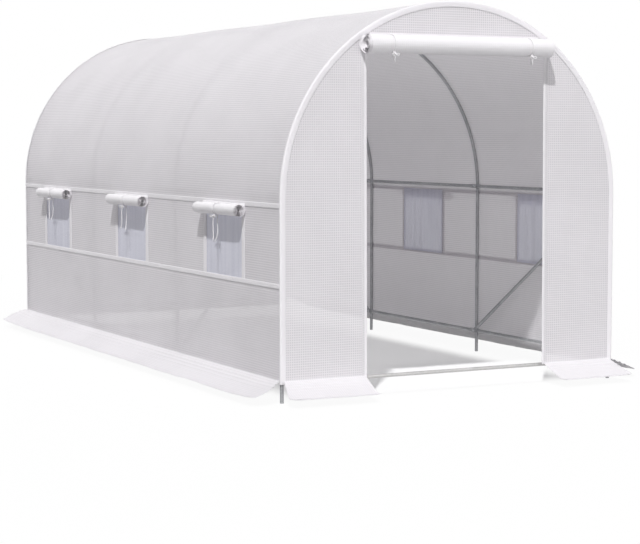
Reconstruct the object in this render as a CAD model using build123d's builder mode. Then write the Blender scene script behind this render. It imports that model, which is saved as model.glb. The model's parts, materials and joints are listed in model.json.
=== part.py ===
from build123d import *

import os
from math import radians, tan

os.makedirs("parts", exist_ok=True)

# Walk-in polytunnel greenhouse: four tube hoops under a cover of woven film.
# X is the width, Y the length with the doorway at -Y, Z is up.
# The origin is on the ground, in the middle of the tunnel. Sizes are in millimetres.

# Overall size, over the film
tunnel_width = 2000.0
tunnel_length = 4000.0
spring_height = 1000.0
hoop_count = 4

# Film, webbing and mesh, all thicker here than the real cloth
film = 3.0
webbing = 1.2
webbing_width = 25.0
mesh = 1.0

# Frame tube
tube = 19.0
tube_wall = 1.0
tab_thickness = 3.0
tab_width = 24.0
tab_length = 38.0
tab_taper = 26.0
tab_reach = 8.5
bolt_hole = 6.5

# Gap left between pieces that lie against each other
clearance = 0.3

# Joint between a hoop's leg and its arch: the leg's end is drawn down and goes into the arch
joint_drop = 30.0
spigot_length = 60.0
swage_taper = 12.0

# Closed foot of each leg
foot_thickness = 2.0

# Rails by their height, and purlins by their rise over the spring of the arch
sill_height = 100.0
base_rail_height = 130.0
purlin_rise = 10.0

# Cover: its base, the window band's lower seam, and the upper seam's drop under the spring
cover_base = 115.0
lower_seam = 577.0
upper_seam_drop = 27.0

# Doorway: its middle, right of the tunnel's, its head's drop under the top, and the door's seam
door_middle = 18.0
door_width = 1070.0
door_head_drop = 215.0
door_seam_rise = 30.0

# Windows, one in the middle of each bay
window_width = 450.0
window_border = 38.0
screen_lap = 15.0

# Rolled covers over the doorway and the windows
door_roll_radius = 43.0
door_roll_length = 1100.0
door_roll_drop = 37.0
door_roll_turns = 6
window_roll_radius = 31.0
window_roll_length = 530.0
window_roll_drop = 25.0
window_roll_turns = 5
roll_film = 2.0
roll_gap = 1.2

# Ties that hold the rolls up
tie_cord = 5.0
tie_band_width = 6.0
tie_band = 1.5
tie_bite = 0.5
tie_knot = 7.0
tie_sink = 1.5
door_tie_inset = 141.0

# Binding along the front and rear edges of the cover
binding_width = 14.0
binding_lip = 28.0

# Skirts, which spread out a little above the legs' feet
skirt_reach = 178.0
skirt_flat = 35.0
skirt_height = 40.0
skirt_fold_height = 90.0
skirt_fold = 33.0
skirt_bend = 60.0

# Ends of the skirts: set in at the wall, flared at the outer edge, and rounded there
side_skirt_inset = 43.0
side_skirt_flare = 128.0
side_skirt_corner = 42.0
end_skirt_inset = 14.0
end_skirt_flare = 42.0
end_skirt_corner = 28.0

# Places worked out from the sizes above
half_width = tunnel_width / 2
half_length = tunnel_length / 2
tube_radius = tube / 2
arch_radius = half_width - film - clearance - tube_radius
end_hoop_y = half_length - film - clearance - tube_radius
bay = 2 * end_hoop_y / (hoop_count - 1)
hoop_places = [-end_hoop_y + bay * i for i in range(hoop_count)]
hoop_names = ["front", "second", "third", "rear"]
bay_names = ["front", "middle", "rear"]
bay_places = [(hoop_places[i] + hoop_places[i + 1]) / 2 for i in range(hoop_count - 1)]
sides = {"left": -1, "right": 1}
joint_height = spring_height - joint_drop
purlin_height = spring_height + purlin_rise
upper_seam = spring_height - upper_seam_drop
door_head = spring_height + half_width - door_head_drop
door_seam = door_head + door_seam_rise
door_left = door_middle - door_width / 2
door_right = door_middle + door_width / 2

# Bars bolted to the inside of the hoops lie in layers, one tab on another
first_layer = arch_radius - tube_radius - clearance - tab_thickness / 2
layer_step = tab_thickness + clearance

# A tie's knot hangs under its roll, sunk a little into the outer film
knot_drop = tie_knot - tie_sink


def save(piece, name):
    """Label a finished piece and write it as its own file."""
    piece.part.label = name
    export_step(piece.part, f"parts/{name}.step")


def tunnel_face(radius, mode=Mode.ADD):
    """The cover's cross-section: upright sides from its base, and a half circle above."""
    with BuildLine() as outline:
        Line((-radius, cover_base), (-radius, spring_height))
        CenterArc((0, spring_height), radius, 180, -180)
        Line((radius, spring_height), (radius, cover_base))
        Line((radius, cover_base), (-radius, cover_base))
    make_face(outline.edges(), mode=mode)


# Hoops: an arch, and two legs whose drawn-down ends stand in its bore
def make_hoop(name, y):
    plane = Plane.XZ.offset(-y)
    bore_radius = tube_radius - tube_wall
    spigot_radius = bore_radius - clearance
    arch_foot = joint_height + clearance
    with BuildPart() as arch:
        with BuildLine(plane) as arch_path:
            Line((-arch_radius, arch_foot), (-arch_radius, spring_height))
            CenterArc((0, spring_height), arch_radius, 180, -180)
            Line((arch_radius, spring_height), (arch_radius, arch_foot))
        with BuildSketch(Plane.XY.offset(arch_foot)):
            with Locations((-arch_radius, y)):
                Circle(tube_radius)
                Circle(bore_radius, mode=Mode.SUBTRACT)
        sweep(path=arch_path.line)
    with BuildPart() as legs:
        for leg_axis in (-arch_radius, arch_radius):
            with BuildSketch(plane):
                with BuildLine():
                    Polyline(
                        (leg_axis + tube_radius, 0),
                        (leg_axis + tube_radius, joint_height - swage_taper),
                        (leg_axis + spigot_radius, joint_height),
                        (leg_axis + spigot_radius, joint_height + spigot_length),
                        (leg_axis + spigot_radius - tube_wall, joint_height + spigot_length),
                        (leg_axis + spigot_radius - tube_wall, joint_height),
                        (leg_axis + bore_radius, joint_height - swage_taper),
                        (leg_axis + bore_radius, foot_thickness),
                        (leg_axis, foot_thickness),
                        (leg_axis, 0),
                        close=True,
                    )
                make_face()
            revolve(axis=Axis((leg_axis, y, 0), (0, 0, 1)))
    # The three tubes stay separate solids, because a fit with clearance doesn't join them
    hoop = Compound([*arch.part.solids(), *legs.part.solids()])
    hoop.label = f"{name}_hoop"
    export_step(hoop, f"parts/{name}_hoop.step")


for name, y in zip(hoop_names, hoop_places):
    make_hoop(name, y)


# Bars with flattened, drilled ends
def bar_on(plane, bolt_distance):
    """A bar that starts at the plane's origin and runs along its Z, its tabs flat across X."""
    bolt = bolt_distance / 2
    tab_end = bolt + tab_reach
    round_centre = tab_end - tab_width / 2
    tab_start = bolt - tab_length
    taper_start = tab_start - tab_taper
    with BuildPart() as bar:
        with BuildSketch():
            Circle(tube_radius)
        extrude(amount=taper_start)
        with BuildSketch(Plane.XY.offset(taper_start)):
            Circle(tube_radius)
        with BuildSketch(Plane.XY.offset(tab_start)):
            Rectangle(tab_thickness, tab_width)
        loft()
        with BuildSketch(Plane.YZ):
            with Locations((0, (tab_start + round_centre) / 2)):
                Rectangle(tab_width, round_centre - tab_start)
            with Locations((0, round_centre)):
                Circle(tab_width / 2)
            with Locations((0, bolt)):
                Circle(bolt_hole / 2, mode=Mode.SUBTRACT)
        extrude(amount=tab_thickness / 2, both=True)
        mirror(about=Plane.XY)
    middle = plane.origin + plane.z_dir * bolt
    return Plane(middle, x_dir=plane.x_dir, z_dir=plane.z_dir).location * bar.part


def bar_between(start, end, tab_normal):
    """A bar from one bolt to another, its tabs facing along tab_normal."""
    run = Vector(*end) - Vector(*start)
    across = Vector(*tab_normal)
    across = across - run * (across.dot(run) / run.dot(run))
    return bar_on(Plane(start, x_dir=across, z_dir=run), run.length)


# Purlins, base rails and ridge beam: one bar to each bay, the middle one a layer further in
def make_lengthwise_bars(name, place_in_layer, tab_normal):
    with BuildPart() as bars:
        for i in range(hoop_count - 1):
            x, z = place_in_layer(first_layer - layer_step * (i % 2))
            add(bar_between((x, hoop_places[i], z), (x, hoop_places[i + 1], z), tab_normal))
    save(bars, name)


for side_name, side in sides.items():
    make_lengthwise_bars(f"{side_name}_purlin", lambda r: (side * r, purlin_height), (1, 0, 0))
    make_lengthwise_bars(f"{side_name}_base_rail", lambda r: (side * r, base_rail_height), (1, 0, 0))
make_lengthwise_bars("ridge_beam", lambda r: (0, spring_height + r), (0, 0, 1))

# Door sill and rear rail, on the inner side of the end hoops
sill_y = end_hoop_y - tube_radius - clearance - tab_thickness / 2
for name, end in {"door_sill": -1, "rear_rail": 1}.items():
    with BuildPart() as sill:
        add(
            bar_between(
                (-arch_radius, end * sill_y, sill_height),
                (arch_radius, end * sill_y, sill_height),
                (0, 1, 0),
            )
        )
    save(sill, name)

# Braces: from the purlin's bolt at an end hoop down to the base rail's bolt at the next hoop
for side_name, side in sides.items():
    for end_name, top, foot in [("front", 0, 1), ("rear", -1, -2)]:
        brace_top = (side * (first_layer - layer_step), hoop_places[top], purlin_height)
        brace_foot = (side * (first_layer - 2 * layer_step), hoop_places[foot], base_rail_height)
        with BuildPart() as brace:
            add(bar_between(brace_top, brace_foot, (1, 0, 0)))
        save(brace, f"{end_name}_{side_name}_brace")


# Roof film: two shoulders and a crown, sewn to the side walls
def make_roof_film(name, start_angle, end_angle, foot_side):
    inner = half_width - film
    sweep_angle = end_angle - start_angle
    with BuildPart() as roof:
        with BuildSketch(Plane.XZ):
            with BuildLine():
                outer_arc = CenterArc((0, spring_height), half_width, start_angle, sweep_angle)
                inner_arc = CenterArc((0, spring_height), inner, start_angle, sweep_angle)
                if foot_side == 0:
                    Line(outer_arc @ 0, inner_arc @ 0)
                else:
                    outer_foot = Line(outer_arc @ 0, (foot_side * half_width, upper_seam))
                    inner_foot = Line(inner_arc @ 0, (foot_side * inner, upper_seam))
                    Line(outer_foot @ 1, inner_foot @ 1)
                Line(outer_arc @ 1, inner_arc @ 1)
            make_face()
        extrude(amount=half_length, both=True)
    save(roof, name)


make_roof_film("left_roof_film", 180, 120, -1)
make_roof_film("crown_roof_film", 120, 60, 0)
make_roof_film("right_roof_film", 0, 60, 1)

# Side walls: film with a window cut through in each bay, and webbing sewn over the seams
window_foot = lower_seam + webbing_width / 2
window_head = upper_seam - webbing_width / 2
webbing_length = tunnel_length - 2 * (binding_width + clearance)
for side_name, side in sides.items():
    face = Plane.YZ.offset(side * half_width)
    with BuildPart() as wall:
        with BuildSketch(face):
            with Locations((0, (cover_base + upper_seam) / 2)):
                Rectangle(tunnel_length, upper_seam - cover_base)
        extrude(amount=-side * film)
        with BuildSketch(face):
            with Locations((0, lower_seam), (0, upper_seam)):
                Rectangle(webbing_length, webbing_width)
            for y in bay_places:
                with Locations((y, (lower_seam + upper_seam) / 2)):
                    Rectangle(window_width + 2 * window_border, upper_seam - lower_seam)
        extrude(amount=side * webbing)
        with BuildSketch(face):
            for y in bay_places:
                with Locations((y, (window_foot + window_head) / 2)):
                    Rectangle(window_width, window_head - window_foot)
        extrude(amount=tube, both=True, mode=Mode.SUBTRACT)
    save(wall, f"{side_name}_wall")

    # Insect mesh behind each window, sewn to the back of the film
    with BuildPart() as screens:
        with BuildSketch(Plane.YZ.offset(side * (half_width - film))):
            for y in bay_places:
                with Locations((y, (window_foot + window_head) / 2)):
                    Rectangle(
                        window_width + 2 * screen_lap,
                        window_head - window_foot + 2 * screen_lap,
                    )
        extrude(amount=-side * mesh)
    save(screens, f"{side_name}_window_screens")

# End walls: the front one in three panels round the doorway, the rear one whole
end_wall_radius = half_width - film - clearance
panels = {
    "front_wall_left": (-half_width, door_left, cover_base),
    "front_wall_right": (door_right, half_width, cover_base),
    "front_wall_top": (door_left, door_right, door_head),
}
for name, (low_x, high_x, low_z) in panels.items():
    with BuildPart() as panel:
        with BuildSketch(Plane.XZ.offset(half_length)):
            tunnel_face(end_wall_radius)
            with Locations(((low_x + high_x) / 2, low_z + tunnel_width / 2)):
                Rectangle(high_x - low_x, tunnel_width, mode=Mode.INTERSECT)
        extrude(amount=-film)
        # The panel over the doorway has webbing over the rolled door's seam, inside the binding
        if name == "front_wall_top":
            with BuildSketch(Plane.XZ.offset(half_length)):
                tunnel_face(half_width - binding_lip - clearance)
                with Locations((door_middle, door_seam)):
                    Rectangle(door_width, webbing_width, mode=Mode.INTERSECT)
            extrude(amount=webbing)
    save(panel, name)

with BuildPart() as rear_wall:
    with BuildSketch(Plane.XZ.offset(-half_length)):
        tunnel_face(end_wall_radius)
    extrude(amount=film)
save(rear_wall, "rear_wall")

# Binding: webbing folded over the cover's front and rear edges
for name, end in {"front_binding": -1, "rear_binding": 1}.items():
    with BuildPart() as binding:
        with BuildSketch(Plane.XZ.offset(-end * half_length)):
            tunnel_face(half_width + webbing)
            tunnel_face(half_width, mode=Mode.SUBTRACT)
        extrude(amount=end * binding_width)
        with BuildSketch(Plane.XZ.offset(-end * half_length)):
            tunnel_face(half_width + webbing)
            tunnel_face(half_width - binding_lip, mode=Mode.SUBTRACT)
        extrude(amount=-end * webbing)
    save(binding, name)


# Rolled covers: each hangs from its seam, and is wound under and outwards
def wound_film(seam, centre_height, radius, half_turns):
    """The wound film in section, with the wall on the right of the seam."""
    turn_radius = radius - roll_film / 2
    centre_x = seam[0] - turn_radius
    half_pitch = (roll_film + roll_gap) / 2
    with BuildLine() as winding:
        Line(seam, (seam[0], centre_height))
        for turn in range(half_turns):
            CenterArc((centre_x, centre_height), turn_radius, -180 * (turn % 2), -180)
            turn_radius -= half_pitch
            centre_x += half_pitch * (2 * (turn % 2) - 1)
    trace(winding.edges(), line_width=roll_film)


def band_round_roll(seam, centre_height, radius):
    """The tie's band in section: from the knot under the roll, round its outside, to the wall."""
    band_radius = radius + tie_band / 2 - tie_bite
    centre_x = seam[0] - radius + roll_film / 2
    half_pitch = (roll_film + roll_gap) / 2
    with BuildLine() as band:
        CenterArc((centre_x, centre_height), band_radius, -90, -90)
        CenterArc((centre_x - half_pitch, centre_height), band_radius - half_pitch, -180, -120)
    trace(band.edges(), line_width=tie_band)


def make_roll(name, plane, seam, centre_height, radius, length, half_turns, middle, ties):
    """A rolled cover with its section in the plane, and a knotted tie at each place in ties."""
    knot = (seam[0] - radius + roll_film / 2, centre_height - radius - knot_drop)
    with BuildPart() as roll:
        with BuildSketch(plane.offset(middle)):
            wound_film(seam, centre_height, radius, half_turns)
        extrude(amount=length / 2, both=True)
        for tie in ties:
            with BuildSketch(plane.offset(tie)):
                band_round_roll(seam, centre_height, radius)
            extrude(amount=tie_band_width / 2, both=True)
            with Locations(plane.offset(tie).from_local_coords(knot)):
                Sphere(tie_knot)
    save(roll, name)


# A roll's section is drawn with the wall on its right, so it is seen from one end of the roll
window_seam_x = half_width + webbing + clearance + roll_film / 2
window_roll_height = upper_seam - window_roll_drop
section_planes = {
    "left": Plane((0, 0, 0), x_dir=(1, 0, 0), z_dir=(0, -1, 0)),
    "right": Plane((0, 0, 0), x_dir=(-1, 0, 0), z_dir=(0, 1, 0)),
}
for side_name, side in sides.items():
    for bay_name, y in zip(bay_names, bay_places):
        make_roll(
            f"{side_name}_{bay_name}_window_roll",
            section_planes[side_name],
            (-window_seam_x, upper_seam),
            window_roll_height,
            window_roll_radius,
            window_roll_length,
            window_roll_turns,
            side * y,
            [side * y],
        )

door_section = Plane((0, 0, 0), x_dir=(0, 1, 0), z_dir=(1, 0, 0))
door_seam_y = half_length + webbing + clearance + roll_film / 2
door_roll_height = door_seam - door_roll_drop
door_tie_spread = door_roll_length / 2 - door_tie_inset
door_tie_left = door_middle - door_tie_spread
door_tie_right = door_middle + door_tie_spread
make_roll(
    "door_roll",
    door_section,
    (-door_seam_y, door_seam),
    door_roll_height,
    door_roll_radius,
    door_roll_length,
    door_roll_turns,
    door_middle,
    [door_tie_left, door_tie_right],
)

# Tie tails: the loose end of each tie, hanging from its knot
window_tail = [(0, 0, 0), (-2, 3, -30), (1, 5, -62), (0, 2, -94), (-5, 7, -122), (-12, 16, -140)]
door_tail = [(0, 0, 0), (-3, 2, -14), (-2, -4, -27), (2, -9, -38)]


def make_tail(name, knot, points, swing):
    """A cord from the underside of the knot, its points swung to one side or the other."""
    top = Vector(*knot) - Vector(0, 0, tie_knot + clearance)
    route = [top + Vector(x * swing[0], y * swing[1], z) for x, y, z in points]
    radii = []
    for before, corner, after in zip(route, route[1:], route[2:]):
        turn = (corner - before).get_angle(after - corner)
        shorter = min((corner - before).length, (after - corner).length)
        radii.append(0.45 * shorter / tan(radians(turn) / 2))
    with BuildPart() as tail:
        with BuildLine() as tail_path:
            FilletPolyline(*route, radius=radii)
        with BuildSketch(Plane(tail_path.line @ 0, z_dir=tail_path.line % 0)):
            Circle(tie_cord / 2)
        sweep(path=tail_path.line)
    cord_length = sum(edge.length for edge in tail_path.edges())
    print(name, "length", round(cord_length, 1), "radii", [round(radius) for radius in radii])
    save(tail, name)


window_centre_x = window_seam_x + window_roll_radius - roll_film / 2
window_knot_z = window_roll_height - window_roll_radius - knot_drop
for side_name, side in sides.items():
    for bay_name, y, swing in zip(bay_names, bay_places, (1, -1, 1)):
        make_tail(
            f"{side_name}_{bay_name}_window_tie",
            (side * window_centre_x, y, window_knot_z),
            window_tail,
            (-side, swing),
        )

door_centre_y = -(door_seam_y + door_roll_radius - roll_film / 2)
door_knot_z = door_roll_height - door_roll_radius - knot_drop
for tie_name, x, swing in [("left", door_tie_left, 1), ("right", door_tie_right, -1)]:
    make_tail(f"{tie_name}_door_tie", (x, door_centre_y, door_knot_z), door_tail, (swing, 1))


# Skirts: the cover's lower edge, folded out
def make_skirt(name, outward, wall_line, roots, tips, rounded_ends, corner):
    """A skirt between two roots at the wall and two tips at its outer edge, some ends rounded."""
    out = Vector(*outward)
    along = out.cross(Vector(0, 0, 1))
    outer_edge = wall_line + skirt_reach
    outer_height = skirt_height + film / 2
    with BuildPart() as skirt:
        with BuildSketch(Plane(along * tips[0], x_dir=out, z_dir=along)):
            with BuildLine() as fold:
                FilletPolyline(
                    (wall_line - film / 2, cover_base),
                    (wall_line - film / 2, skirt_fold_height),
                    (outer_edge - skirt_flat, outer_height),
                    (outer_edge, outer_height),
                    radius=[skirt_fold, skirt_bend],
                )
            trace(fold.edges(), line_width=film)
        extrude(amount=tips[1] - tips[0])
        with BuildSketch(Plane((0, 0, 0), x_dir=out, z_dir=(0, 0, -1))) as plan:
            with BuildLine():
                Polyline(
                    (wall_line - film, roots[0]),
                    (wall_line, roots[0]),
                    (outer_edge, tips[0]),
                    (outer_edge, tips[1]),
                    (wall_line, roots[1]),
                    (wall_line - film, roots[1]),
                    close=True,
                )
            make_face()
            outer_corners = plan.vertices().group_by(Axis.X)[-1].sort_by(Axis.Y)
            fillet([outer_corners[end] for end in rounded_ends], radius=corner)
        extrude(amount=-cover_base, mode=Mode.INTERSECT)
    save(skirt, name)


side_root = half_length - side_skirt_inset
side_tip = half_length + side_skirt_flare
for side_name, side in sides.items():
    make_skirt(
        f"{side_name}_skirt",
        (side, 0, 0),
        half_width,
        (-side_root, side_root),
        (-side_tip, side_tip),
        [0, -1],
        side_skirt_corner,
    )

# The end skirts' places run along the wall as seen from outside, so the front ones go from +X to -X
end_root = half_width - end_skirt_inset
end_tip = half_width + end_skirt_flare
end_skirts = {
    "rear_skirt": (1, (-end_root, end_root), (-end_tip, end_tip), [0, -1]),
    "front_left_skirt": (-1, (-door_left, end_root), (-door_left, end_tip), [-1]),
    "front_right_skirt": (-1, (-end_root, -door_right), (-end_tip, -door_right), [0]),
}
for name, (end, roots, tips, rounded_ends) in end_skirts.items():
    make_skirt(name, (0, end, 0), half_length, roots, tips, rounded_ends, end_skirt_corner)
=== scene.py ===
"""Walk-in polytunnel greenhouse: film cover, rolled covers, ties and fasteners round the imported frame."""
import json
import logging
import math
from dataclasses import dataclass
from enum import Enum
from itertools import pairwise
from typing import Any, Callable, Sequence

import bmesh
import bpy
from mathutils import Matrix, Vector, noise

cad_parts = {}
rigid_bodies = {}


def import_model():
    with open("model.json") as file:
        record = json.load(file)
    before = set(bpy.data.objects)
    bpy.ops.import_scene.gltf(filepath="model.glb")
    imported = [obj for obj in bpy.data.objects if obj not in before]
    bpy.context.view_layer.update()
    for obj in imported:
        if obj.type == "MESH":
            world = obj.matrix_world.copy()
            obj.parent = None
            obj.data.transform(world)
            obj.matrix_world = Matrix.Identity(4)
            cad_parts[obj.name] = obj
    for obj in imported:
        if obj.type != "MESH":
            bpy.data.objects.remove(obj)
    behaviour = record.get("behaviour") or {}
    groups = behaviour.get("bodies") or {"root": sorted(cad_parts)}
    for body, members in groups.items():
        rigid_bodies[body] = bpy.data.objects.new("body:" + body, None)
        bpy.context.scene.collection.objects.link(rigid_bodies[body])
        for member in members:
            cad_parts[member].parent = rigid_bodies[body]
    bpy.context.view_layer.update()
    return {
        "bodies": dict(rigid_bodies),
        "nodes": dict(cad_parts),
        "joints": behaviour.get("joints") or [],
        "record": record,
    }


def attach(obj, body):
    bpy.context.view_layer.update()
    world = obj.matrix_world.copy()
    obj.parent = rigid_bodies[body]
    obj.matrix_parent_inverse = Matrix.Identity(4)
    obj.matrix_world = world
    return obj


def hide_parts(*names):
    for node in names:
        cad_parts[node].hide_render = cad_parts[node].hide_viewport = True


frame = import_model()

log = logging.getLogger("polytunnel")

MILLIMETRE = 0.001
CLOTH_MAP = "cloth"
FACING = "facing"
ROLL_INSET = 0.0006
ROUNDING = 1e-6
UP = Vector((0, 0, 1))


class Named(Enum):
    """An option whose own name goes into the names of pieces."""

    @property
    def word(self) -> str:
        """The name in lower case."""
        return self.name.lower()


class Side(Named):
    """The tunnel's two long sides, by the sign of their X."""

    LEFT = -1
    RIGHT = 1


class End(Named):
    """The tunnel's two ends, by the sign of their Y."""

    FRONT = -1
    REAR = 1


class Held(Enum):
    STRETCHED = "stretched"
    FOLDED = "folded"


@dataclass(frozen=True)
class Tunnel:
    """The sizes that all pieces share, in metres, as the solids have them."""

    half_width: float = 1.0
    half_length: float = 2.0
    spring: float = 1.0
    base: float = 0.115
    lower_seam: float = 0.577
    upper_seam: float = 0.973
    strap_width: float = 0.025
    film_line: float = 0.9985
    wall_edge: float = 0.9967
    door_middle: float = 0.018
    door_width: float = 1.07
    door_head: float = 1.785
    door_seam: float = 1.815
    window_width: float = 0.45
    window_border: float = 0.038
    hoop_line: float = 0.9872
    tube_radius: float = 0.0095
    bay: float = 1.3248

    @property
    def door_left(self) -> float:
        """The X of the doorway's left edge."""
        return self.door_middle - self.door_width / 2

    @property
    def door_right(self) -> float:
        """The X of the doorway's right edge."""
        return self.door_middle + self.door_width / 2

    @property
    def hoops(self) -> list[float]:
        """The Y of each hoop, from the front."""
        return [self.bay * (i - 1.5) for i in range(4)]

    @property
    def windows(self) -> list[float]:
        """The Y of each window's middle, from the front."""
        return [self.bay * (i - 1) for i in range(3)]

    @property
    def window_foot(self) -> float:
        """The height of the windows' lower edge."""
        return self.lower_seam + self.strap_width / 2

    @property
    def window_top(self) -> float:
        """The height of the windows' upper edge."""
        return self.upper_seam - self.strap_width / 2

    def slack(self, y: float) -> float:
        """How free the film is at a place along the tunnel, from 0 on a hoop to 1 half way between two."""
        place = (y + 1.5 * self.bay) / self.bay
        return math.sin(math.pi * place) ** 2 if 0 < place < 3 else 0.0


TUNNEL = Tunnel()


# Shader and Geometry Nodes trees


def operator(operation: str, swapped: bool = False) -> Callable[["Signal", "Signal | float"], "Signal"]:
    """Make one of the operators of a signal.

    Args:
        operation: the Math node's operation.
        swapped: whether the other value comes first.

    Returns:
        The method, which adds the node.
    """

    def apply(this: "Signal", other: "Signal | float") -> "Signal":
        """The node's result for this and other."""
        first, second = (other, this) if swapped else (this, other)
        return this.math(operation, first, second)

    return apply


class Signal:
    """One number that a node gives, with the usual operators, each of which adds a Math node."""

    def __init__(self, graph: "Graph", socket: bpy.types.NodeSocket) -> None:
        self.graph = graph
        self.socket = socket

    def math(self, operation: str, first: "Signal | float", second: "Signal | float" = 0.0) -> "Signal":
        """A Math node with this operation.

        Args:
            operation: the Math node's operation.
            first: its first value.
            second: its second value.

        Returns:
            The node's result.
        """
        return self.graph.node("ShaderNodeMath", {"operation": operation}, {0: first, 1: second})

    __add__ = __radd__ = operator("ADD")
    __sub__ = operator("SUBTRACT")
    __rsub__ = operator("SUBTRACT", swapped=True)
    __mul__ = __rmul__ = operator("MULTIPLY")
    __truediv__ = operator("DIVIDE")
    __mod__ = operator("FLOORED_MODULO")
    larger = operator("MAXIMUM")

    def __abs__(self) -> "Signal":
        """This without its sign."""
        return self.math("ABSOLUTE", self)

    def sine(self) -> "Signal":
        """The sine of this, in radians."""
        return self.math("SINE", self)

    def fade(self, start: float, end: float) -> "Signal":
        """0 where this is at start or before, 1 at end or after, and smooth between."""
        return self.graph.node(
            "ShaderNodeMapRange",
            {"interpolation_type": "SMOOTHSTEP"},
            {"Value": self, "From Min": start, "From Max": end},
        )


class Graph:
    """A node tree under construction, and the one way to add a node to it."""

    def __init__(self, tree: bpy.types.NodeTree) -> None:
        self.tree = tree
        tree.nodes.clear()

    def node(
        self,
        kind: str,
        settings: dict[str, Any] | None = None,
        inputs: dict[str | int, Any] | None = None,
        output: str | int = 0,
    ) -> Signal | None:
        """Add a node.

        Args:
            kind: the node's type.
            settings: its own settings.
            inputs: a value or a signal for each socket, by its name or number.
            output: the name or number of the output to give back.

        Returns:
            The signal from that output, or None for a node that has none.
        """
        node = self.tree.nodes.new(kind)
        for key, value in (settings or {}).items():
            setattr(node, key, value)
        for key, value in (inputs or {}).items():
            socket = node.inputs[key]
            if isinstance(value, Signal):
                self.tree.links.new(value.socket, socket)
            else:
                socket.default_value = (*value, 1.0) if socket.type == "RGBA" and len(value) == 3 else value
        return Signal(self, node.outputs[output]) if node.outputs else None

    def tint(self, factor: Signal | float, first: Any, second: Any) -> Signal:
        """A colour that goes from first to second as factor goes from 0 to 1."""
        return self.node("ShaderNodeMix", {"data_type": "RGBA"}, {0: factor, 6: first, 7: second}, 2)

    def mixed(self, factor: Signal | float, first: Signal, second: Signal) -> Signal:
        """A shader that goes from first to second as factor goes from 0 to 1."""
        return self.node("ShaderNodeMixShader", None, {0: factor, 1: first, 2: second})


class Paint(Graph):
    """A material under construction."""

    def __init__(self, name: str) -> None:
        self.material = bpy.data.materials.new(name)
        self.material.use_nodes = True
        super().__init__(self.material.node_tree)

    def place(self, stretch: Sequence[float] = (1, 1, 1)) -> Signal:
        """The piece's own coordinates in metres, stretched for a pattern that isn't the same each way."""
        here = self.node("ShaderNodeTexCoord", output="Object")
        return self.node("ShaderNodeMapping", None, {"Vector": here, "Scale": stretch})

    def split(self, vector: Signal) -> tuple[Signal, Signal]:
        """The first two parts of a vector."""
        parts = self.node("ShaderNodeSeparateXYZ", None, {0: vector})
        return parts, Signal(self, parts.socket.node.outputs[1])

    def flat_place(self) -> tuple[Signal, Signal]:
        """Where a point lies on the flat cloth, in metres across and along it."""
        return self.split(self.node("ShaderNodeUVMap", {"uv_map": CLOTH_MAP}))

    def clouds(self, scale: float, detail: float = 2.0, stretch: Sequence[float] = (1, 1, 1)) -> Signal:
        """Soft noise from 0 to 1 on the piece's own coordinates, with this many waves to the metre."""
        return self.node(
            "ShaderNodeTexNoise",
            None,
            {"Vector": self.place(stretch), "Scale": scale, "Detail": detail},
        )

    def bump(self, height: Signal, depth: float, strength: float = 1.0) -> Signal:
        """A normal from a height of 0 to 1, which stands for this depth in metres."""
        return self.node(
            "ShaderNodeBump", None, {"Height": height, "Distance": depth, "Strength": strength}
        )

    def principled(self, **sockets: Any) -> Signal:
        """A Principled shader, its sockets named with _ for a space."""
        named = {key.replace("_", " "): value for key, value in sockets.items()}
        return self.node("ShaderNodeBsdfPrincipled", None, named)

    def sheer(self, face: Signal, through: float, cover: Signal, **glow: Signal) -> Signal:
        """A thin cloth.

        Args:
            face: the shader of its face.
            through: the share of its light that glows through from behind.
            cover: how much of it is cloth and not a hole, from 0 to 1.
            glow: the colour, and maybe the normal, that it glows with.

        Returns:
            The shader.
        """
        lit = self.node("ShaderNodeBsdfTranslucent", None, glow)
        cloth = self.mixed(through, face, lit)
        return self.mixed(cover, self.node("ShaderNodeBsdfTransparent"), cloth)

    def finish(self, shader: Signal) -> bpy.types.Material:
        """Give the material this shader, and hand it over."""
        self.node("ShaderNodeOutputMaterial", None, {"Surface": shader})
        return self.material


def thread_lines(place: Signal, pitch: float, width: float) -> Signal:
    """Threads across a cloth.

    Args:
        place: the distance over the cloth, in metres.
        pitch: from thread to thread.
        width: of one thread.

    Returns:
        1 on a thread's middle and 0 between threads.
    """
    nearness = abs((place / pitch) % 1.0 - 0.5)
    edge = 0.5 - width / pitch / 2
    soft = width / pitch / 3
    return nearness.fade(edge - soft, edge + soft)


# Finishes


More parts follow.
